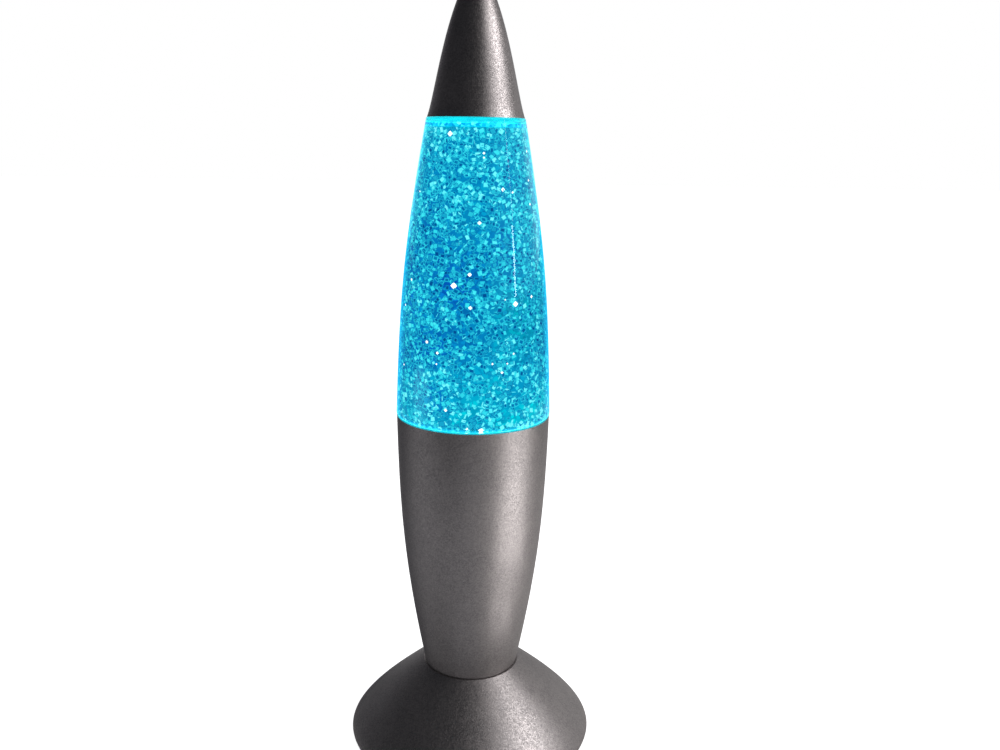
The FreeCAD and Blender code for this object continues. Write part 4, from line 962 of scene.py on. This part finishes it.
@dataclass
class Bottle:
    """The lit liquid and its glitter, inside the glass bottle."""

    liquid: bpy.types.Object
    wardrobe: Wardrobe
    neck_share: float = 0.6
    ceiling_gap: float = 0.3 * MM
    skin_gap: float = 0.2 * MM
    core_depth: float = 4.2 * MM
    core_low: float = 156 * MM
    core_steps: int = 96
    core_rings: int = 48
    flake_objects: int = 6
    flakes_each: int = 2200
    flake_low: float = 143 * MM
    flake_depth: float = 3.6 * MM
    flake_half: Span = (0.56 * MM, 1.12 * MM)
    flake_thick: float = 0.05 * MM
    flake_outward: Span = (0.25, 1.2)
    flake_tumble: float = 0.6
    dark_share: float = 0.4
    dark_stretch: float = 1.15
    # The brightest glints: degrees from the front to the right, then height and reach in millimetres
    glints: tuple[tuple[float, float, float], ...] = (
        (-17.0, 214.0, 1.3), (-31.0, 272.3, 1.1), (35.0, 206.5, 1.2), (-4.0, 218.6, 0.8),
        (-39.0, 190.6, 0.7), (-3.0, 205.6, 0.8), (28.0, 251.3, 0.8), (4.0, 238.6, 0.8),
        (53.0, 208.6, 0.7), (-21.0, 163.6, 0.7), (6.3, 155.4, 1.1), (22.0, 179.4, 0.6))
    glint_waist: float = 0.76
    glint_inset: float = 0.3
    stray_glints: int = 46
    stray_size: Span = (0.38, 0.66)
    seed: int = 20
    heights: np.ndarray = field(init=False)
    radii: np.ndarray = field(init=False)

    def __post_init__(self) -> None:
        """Reads the liquid's outer radius at each height under the neck from its mesh."""
        points = np.array([vertex.co for vertex in self.liquid.data.vertices])
        radius = np.hypot(points[:, 0], points[:, 1])
        levels = np.round(points[:, 2], 5)
        self.heights = np.unique(levels)
        self.radii = np.array([radius[levels == level].max() for level in self.heights])
        wide = self.radii > self.neck_share * self.radii.max()
        self.heights = self.heights[wide]
        self.radii = self.radii[wide]

    @property
    def high(self) -> float:
        """Height of the liquid's top under the bottle's shoulder."""
        return float(self.heights[-1]) - self.ceiling_gap

    def radius(self, level: Any) -> Any:
        """Gives the liquid's radius at a height, or at each of an array of heights."""
        return np.interp(level, self.heights, self.radii)

    def build(self) -> None:
        """Makes the lit middle, the glitter round it and its glints."""
        LOG.info("liquid from %.4f to %.4f m", self.heights[0], self.heights[-1])
        self.core()
        foil = self.wardrobe.material(GlitterFoil("glitter_foil"))
        for number in range(1, self.flake_objects + 1):
            self.flakes(number, foil)
        self.stars()

    def core(self) -> None:
        """Makes the lit middle of the liquid as a closed turned form."""
        levels = np.linspace(self.core_low, self.high, self.core_rings)
        radii = self.radius(levels) - self.core_depth
        turns = np.arange(self.core_steps) * 2 * math.pi / self.core_steps
        points = [
            (radius * math.cos(turn), radius * math.sin(turn), level)
            for level, radius in zip(levels, radii) for turn in turns
        ]
        faces = rings_of(self.core_rings, self.core_steps)
        material = self.wardrobe.material(LitDepth("lit_depth"))
        add_piece("lit_depth", points, faces, material, smooth=True)

    def flakes(self, number: int, foil: bpy.types.Material) -> None:
        """Makes one object of loose flakes, each a thin square plate.

        Args:
            number: which of the objects, which also sets its random draws.
            foil: the flakes' material.
        """
        draw = np.random.default_rng(self.seed + number)
        count = self.flakes_each
        tone = draw.random(count)
        turn = draw.uniform(0, 2 * math.pi, count)
        out = np.stack([np.cos(turn), np.sin(turn), np.zeros(count)], 1)
        aim = out * draw.uniform(*self.flake_outward, (count, 1))
        aim = unit(aim + draw.normal(0, self.flake_tumble, (count, 3)))
        across = unit(np.cross(aim, draw.normal(0, 1, (count, 3))))
        along = np.cross(aim, across)
        size = draw.uniform(*self.flake_half, (count, 2))
        size[tone < self.dark_share] *= self.dark_stretch
        half_height = np.abs(across[:, 2]) * size[:, 0] + np.abs(along[:, 2]) * size[:, 1]
        level = np.minimum(draw.uniform(self.flake_low, self.high, count), self.high - half_height)
        reach = np.abs((across * out).sum(1)) * size[:, 0] + np.abs((along * out).sum(1)) * size[:, 1]
        radius = self.radius(level) - self.skin_gap - reach
        radius -= draw.uniform(0, self.flake_depth, count)
        centre = out * radius[:, None]
        centre[:, 2] = level
        points = plates(centre, across * size[:, :1], along * size[:, 1:], aim * self.flake_thick)
        piece = add_piece(f"glitter_{number}", points.tolist(), plate_faces(count).tolist(), foil)
        tones = piece.data.attributes.new("tone", "FLOAT", "FACE")
        tones.data.foreach_set("value", np.repeat(tone, len(PLATE)).astype(np.float32))
        square = (np.array(SQUARE, np.float32) + 1) / 2
        layer = piece.data.uv_layers.new(name="flake")
        layer.data.foreach_set("uv", np.tile(square, (count * len(PLATE), 1)).ravel())

    def stars(self) -> None:
        """Makes the painted glints: small glowing four-pointed plates that face outwards just inside
        the wall.
        """
        draw = np.random.default_rng(self.seed)
        marks = list(self.glints)
        for _ in range(self.stray_glints):
            level = draw.uniform(self.flake_low, self.high) / MM
            marks.append((draw.uniform(0, 360), level, draw.uniform(*self.stray_size)))
        points: list[list[float]] = []
        faces: list[list[int]] = []
        for turn, level, size in marks:
            front = len(points)
            back = front + STAR
            points += self.star(math.radians(turn), level * MM, size * MM)
            faces.append([front + step for step in range(STAR)])
            faces.append([back + step for step in reversed(range(STAR))])
            for step in range(STAR):
                after = (step + 1) % STAR
                faces.append([front + step, back + step, back + after, front + after])
        add_piece("glints", points, faces, self.wardrobe.material(Glint("glint")))

    def star(self, turn: float, level: float, size: float) -> list[list[float]]:
        """Gives the points of one four-pointed plate.

        Args:
            turn: its direction from the axis, from the front towards the right.
            level: its height.
            size: distance from its middle to a point.

        Returns:
            The front points, then the back points.
        """
        out = np.array([math.sin(turn), -math.cos(turn), 0.0])
        side = np.array([math.cos(turn), math.sin(turn), 0.0])
        centre = out * (self.radius(level) - self.skin_gap - self.glint_inset * size)
        centre[2] = level
        points = []
        for lift in (0.0, -self.flake_thick):
            for step in range(STAR):
                reach = size if step % 2 == 0 else self.glint_waist * size
                lean = step * 2 * math.pi / STAR
                way = side * math.cos(lean) + np.array([0, 0, 1]) * math.sin(lean)
                points.append((centre + way * reach + out * lift).tolist())
        return points


def unit(ways: np.ndarray) -> np.ndarray:
    """Gives the same directions, one a row, with a length of 1."""
    return ways / np.linalg.norm(ways, axis=1, keepdims=True)


def plates(centre: np.ndarray, across: np.ndarray, along: np.ndarray, up: np.ndarray) -> np.ndarray:
    """Gives the eight points of each of many thin plates.

    Args:
        centre: the plates' middles.
        across: half of each plate's first side.
        along: half of each plate's second side.
        up: each plate's thickness.

    Returns:
        The points, eight rows a plate.
    """
    rows = [
        centre + across * side + along * end + up * lift
        for lift in (-0.5, 0.5) for side, end in SQUARE
    ]
    return np.stack(rows, 1).reshape(-1, 3)


def plate_faces(count: int) -> np.ndarray:
    """Gives the faces of a count of plates, as numbers of their points."""
    return (PLATE[None] + PLATE_POINTS * np.arange(count)[:, None, None]).reshape(-1, 4)


def rings_of(rings: int, steps: int) -> list[tuple[int, ...]]:
    """Gives the faces of a closed form made of rings of points.

    Args:
        rings: how many rings.
        steps: how many points each has.

    Returns:
        The faces between the rings and the two end faces.
    """
    faces: list[tuple[int, ...]] = [
        (ring * steps + step, ring * steps + (step + 1) % steps,
         (ring + 1) * steps + (step + 1) % steps, (ring + 1) * steps + step)
        for ring in range(rings - 1) for step in range(steps)
    ]
    faces.append(tuple(range(steps))[::-1])
    faces.append(tuple(range((rings - 1) * steps, rings * steps)))
    return faces


def add_piece(
        name: str, points: list[Any], faces: list[Any], material: bpy.types.Material,
        smooth: bool = False, body: str = LIQUID_BODY) -> bpy.types.Object:
    """Makes a piece that rides on a body, the bottle unless another is named.

    Args:
        name: the piece's name.
        points: its points in metres.
        faces: its faces as numbers of points.
        material: what it wears.
        smooth: whether its faces are shaded as one curved surface.
        body: the body that it rides on.

    Returns:
        The new object.
    """
    mesh = bpy.data.meshes.new(name)
    mesh.from_pydata(points, [], faces)
    mesh.materials.append(material)
    if smooth:
        mesh.shade_smooth()
    mesh.update()
    piece = bpy.data.objects.new(name, mesh)
    bpy.context.scene.collection.objects.link(piece)
    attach(piece, body)
    LOG.info("%s has %d faces", name, len(faces))
    return piece


@dataclass
class ReturnSpring:
    """The button's return spring, a round wire that the pressed button shortens, built here at rest
    length.
    """

    wardrobe: Wardrobe
    node: str = "button_spring"
    joint: str = "button_press"
    body: str = "root"
    slot: str = "spring_steel"
    wire: float = 0.25 * MM
    turns: int = 3
    steps_a_turn: int = 48
    wire_sides: int = 12
    seat_gap: float = 0.05 * MM
    travel: float = 1.0 * MM

    def build(self) -> None:
        """Makes the wound wire where its node stands."""
        low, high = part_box(self.node)
        middle = (low + high) / 2
        radius = (high.x - low.x) / 2 - self.wire
        start = low.y + self.wire
        rise = high.y - low.y - 2 * self.wire
        count = self.turns * self.steps_a_turn + 1
        points: list[Place] = []
        for step in range(count):
            share = step / (count - 1)
            turn = share * self.turns * 2 * math.pi
            out = Vector((math.cos(turn), 0.0, -math.sin(turn)))
            way = Vector((-math.sin(turn), 0.0, -math.cos(turn))) * radius * self.turns * 2 * math.pi
            way.y = rise
            side = way.normalized().cross(out)
            centre = Vector((middle.x, start + share * rise, middle.z)) + out * radius
            for corner in range(self.wire_sides):
                lean = corner * 2 * math.pi / self.wire_sides
                spoke = out * math.cos(lean) + side * math.sin(lean)
                points.append(tuple(centre + spoke * self.wire))
        faces = rings_of(count, self.wire_sides)
        material = self.wardrobe.material(FINISHES[self.node])
        piece = add_piece(
            "return_spring", points, faces, material, smooth=True, body=self.body)
        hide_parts(self.node)
        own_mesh(piece)


@dataclass
class Viewpoint:
    """The photographer's camera, found from the lamp's outline in the picture."""

    distance: float = 400.3 * MM
    height: float = 269.5 * MM
    down: float = 13.76
    right: float = 1.643
    roll: float = 0.945
    lens: float = 34.2
    sensor: float = 36.0

    def place(self) -> None:
        """Makes the camera and gives it to the scene."""
        data = bpy.data.cameras.new("viewpoint")
        data.lens = self.lens
        data.sensor_width = self.sensor
        camera = bpy.data.objects.new("viewpoint", data)
        turn = Matrix.Rotation(math.radians(-self.right), 4, "Z")
        tilt = Matrix.Rotation(math.radians(90 - self.down), 4, "X")
        roll = Matrix.Rotation(math.radians(self.roll), 4, "Z")
        camera.matrix_world = Matrix.Translation((0, -self.distance, self.height)) @ turn @ tilt @ roll
        bpy.context.scene.collection.objects.link(camera)
        bpy.context.scene.camera = camera


class LampTint(Enum):
    """Colour of a studio lamp's light."""

    STRIP = (1.0, 0.99, 0.98)
    PANEL = (1.0, 0.96, 0.96)
    REAR = (1.0, 0.97, 0.97)
    WARM = (1.0, 0.955, 0.94)


@dataclass
class Softbox:
    """A rectangular lamp that stands round the object and faces it."""

    name: str
    azimuth: float
    distance: float
    height: float
    size: tuple[float, float]
    power: float
    tint: LampTint
    aim: float

    def place(self) -> None:
        """Makes the lamp, turned towards the lamp's axis at its aim's height."""
        data = bpy.data.lights.new(self.name, "AREA")
        data.shape = "RECTANGLE"
        data.size, data.size_y = self.size
        data.energy = self.power
        data.color = self.tint.value
        lamp = bpy.data.objects.new(self.name, data)
        turn = math.radians(self.azimuth)
        spot = Vector((math.sin(turn) * self.distance, -math.cos(turn) * self.distance, self.height))
        look = (Vector((0, 0, self.aim)) - spot).to_track_quat("-Z", "Y")
        lamp.location = spot
        lamp.rotation_euler = look.to_euler()
        lamp.visible_camera = False
        lamp.visible_transmission = False
        bpy.context.scene.collection.objects.link(lamp)
        LOG.info("%s stands at %.0f degrees", self.name, self.azimuth)


@dataclass
class Studio:
    """Pale table, white backdrop, soft lamps and the camera."""

    floor_half: float = 6.0
    floor_level: float = -0.1 * MM
    backdrop: Colour = (1.0, 1.0, 1.0)
    backdrop_from: Span = (0.6, 0.85)
    fill: Colour = (0.4, 0.4, 0.4)
    lamps: tuple[Softbox, ...] = (
        Softbox("strip_low", 67.0, 1.1, 0.3, (0.06, 0.2), 0.5, LampTint.STRIP, 0.2),
        Softbox("strip_high", 69.0, 1.1, 0.53, (0.045, 0.24), 0.1, LampTint.STRIP, 0.2),
        Softbox("panel_side", 79.5, 1.1, 1.0, (0.67, 0.55), 4.35, LampTint.PANEL, 0.15),
        Softbox("panel_lip", 76.0, 1.1, 0.83, (0.68, 0.12), 1.62, LampTint.PANEL, 0.15),
        Softbox("panel_wing", 50.0, 1.1, 1.0, (0.5, 0.55), 1.6, LampTint.PANEL, 0.15),
        Softbox("panel_back", 190.0, 1.1, 1.0, (0.8, 0.5), 1.1, LampTint.REAR, 0.15),
        Softbox("panel_far", 69.0, 0.395, 0.035, (0.29, 0.13), 0.33, LampTint.WARM, 2.0),
        Softbox("panel_near", 62.0, 0.205, 0.035, (0.135, 0.17), 0.156, LampTint.WARM, 2.0),
        Softbox("panel_close", 50.0, 0.067, 0.035, (0.045, 0.03), 0.0042, LampTint.WARM, 2.0),
    )

    def build(self) -> None:
        """Makes the table, the backdrop, the lamps and the camera."""
        self.table()
        self.surroundings()
        for lamp in self.lamps:
            lamp.place()
        Viewpoint().place()

    def table(self) -> None:
        """Makes the pale table that the lamp stands on."""
        half = self.floor_half
        mesh = bpy.data.meshes.new("table_top")
        points = [(side * half, end * half, self.floor_level) for side, end in SQUARE]
        mesh.from_pydata(points, [], [(0, 1, 2, 3)])
        mesh.materials.append(PaleFloor("pale_table").make())
        table = bpy.data.objects.new("table_top", mesh)
        bpy.context.scene.collection.objects.link(table)

    def surroundings(self) -> None:
        """Makes the world: a white backdrop behind the lamp and a dim room before it."""
        world = bpy.data.worlds.new("World")
        bpy.context.scene.world = world
        graph = Graph(world)
        way = graph.add("ShaderNodeTexCoord").outputs["Generated"]
        behind = graph.span(graph.axes(way)["Y"], *self.backdrop_from)
        path = graph.add("ShaderNodeLightPath").outputs
        through = path["Is Transmission Ray"]
        behind = graph.math("MULTIPLY", through, behind)
        shown = graph.math("ADD", path["Is Camera Ray"], behind, clamp=True)
        mirrored = graph.math("ADD", path["Is Glossy Ray"], through, clamp=True)
        room = graph.mix(mirrored, self.fill, Room().walls(graph, way))
        seen = graph.mix(shown, room, self.backdrop)
        light = graph.add("ShaderNodeBackground", {"Color": seen, "Strength": 1.0})
        graph.end(light.outputs[0])


def main() -> None:
    """Loads the frame, dresses it, builds what only the looks need, and sets the studio."""
    logging.basicConfig(level=logging.INFO)
    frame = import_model()
    bpy.context.scene.view_settings.view_transform = "Standard"
    wardrobe = Wardrobe(frame["nodes"])
    wardrobe.dress()
    Bottle(frame["nodes"]["glitter_liquid"], wardrobe).build()
    ReturnSpring(wardrobe).build()
    Studio().build()


if __name__ == "__main__":
    main()
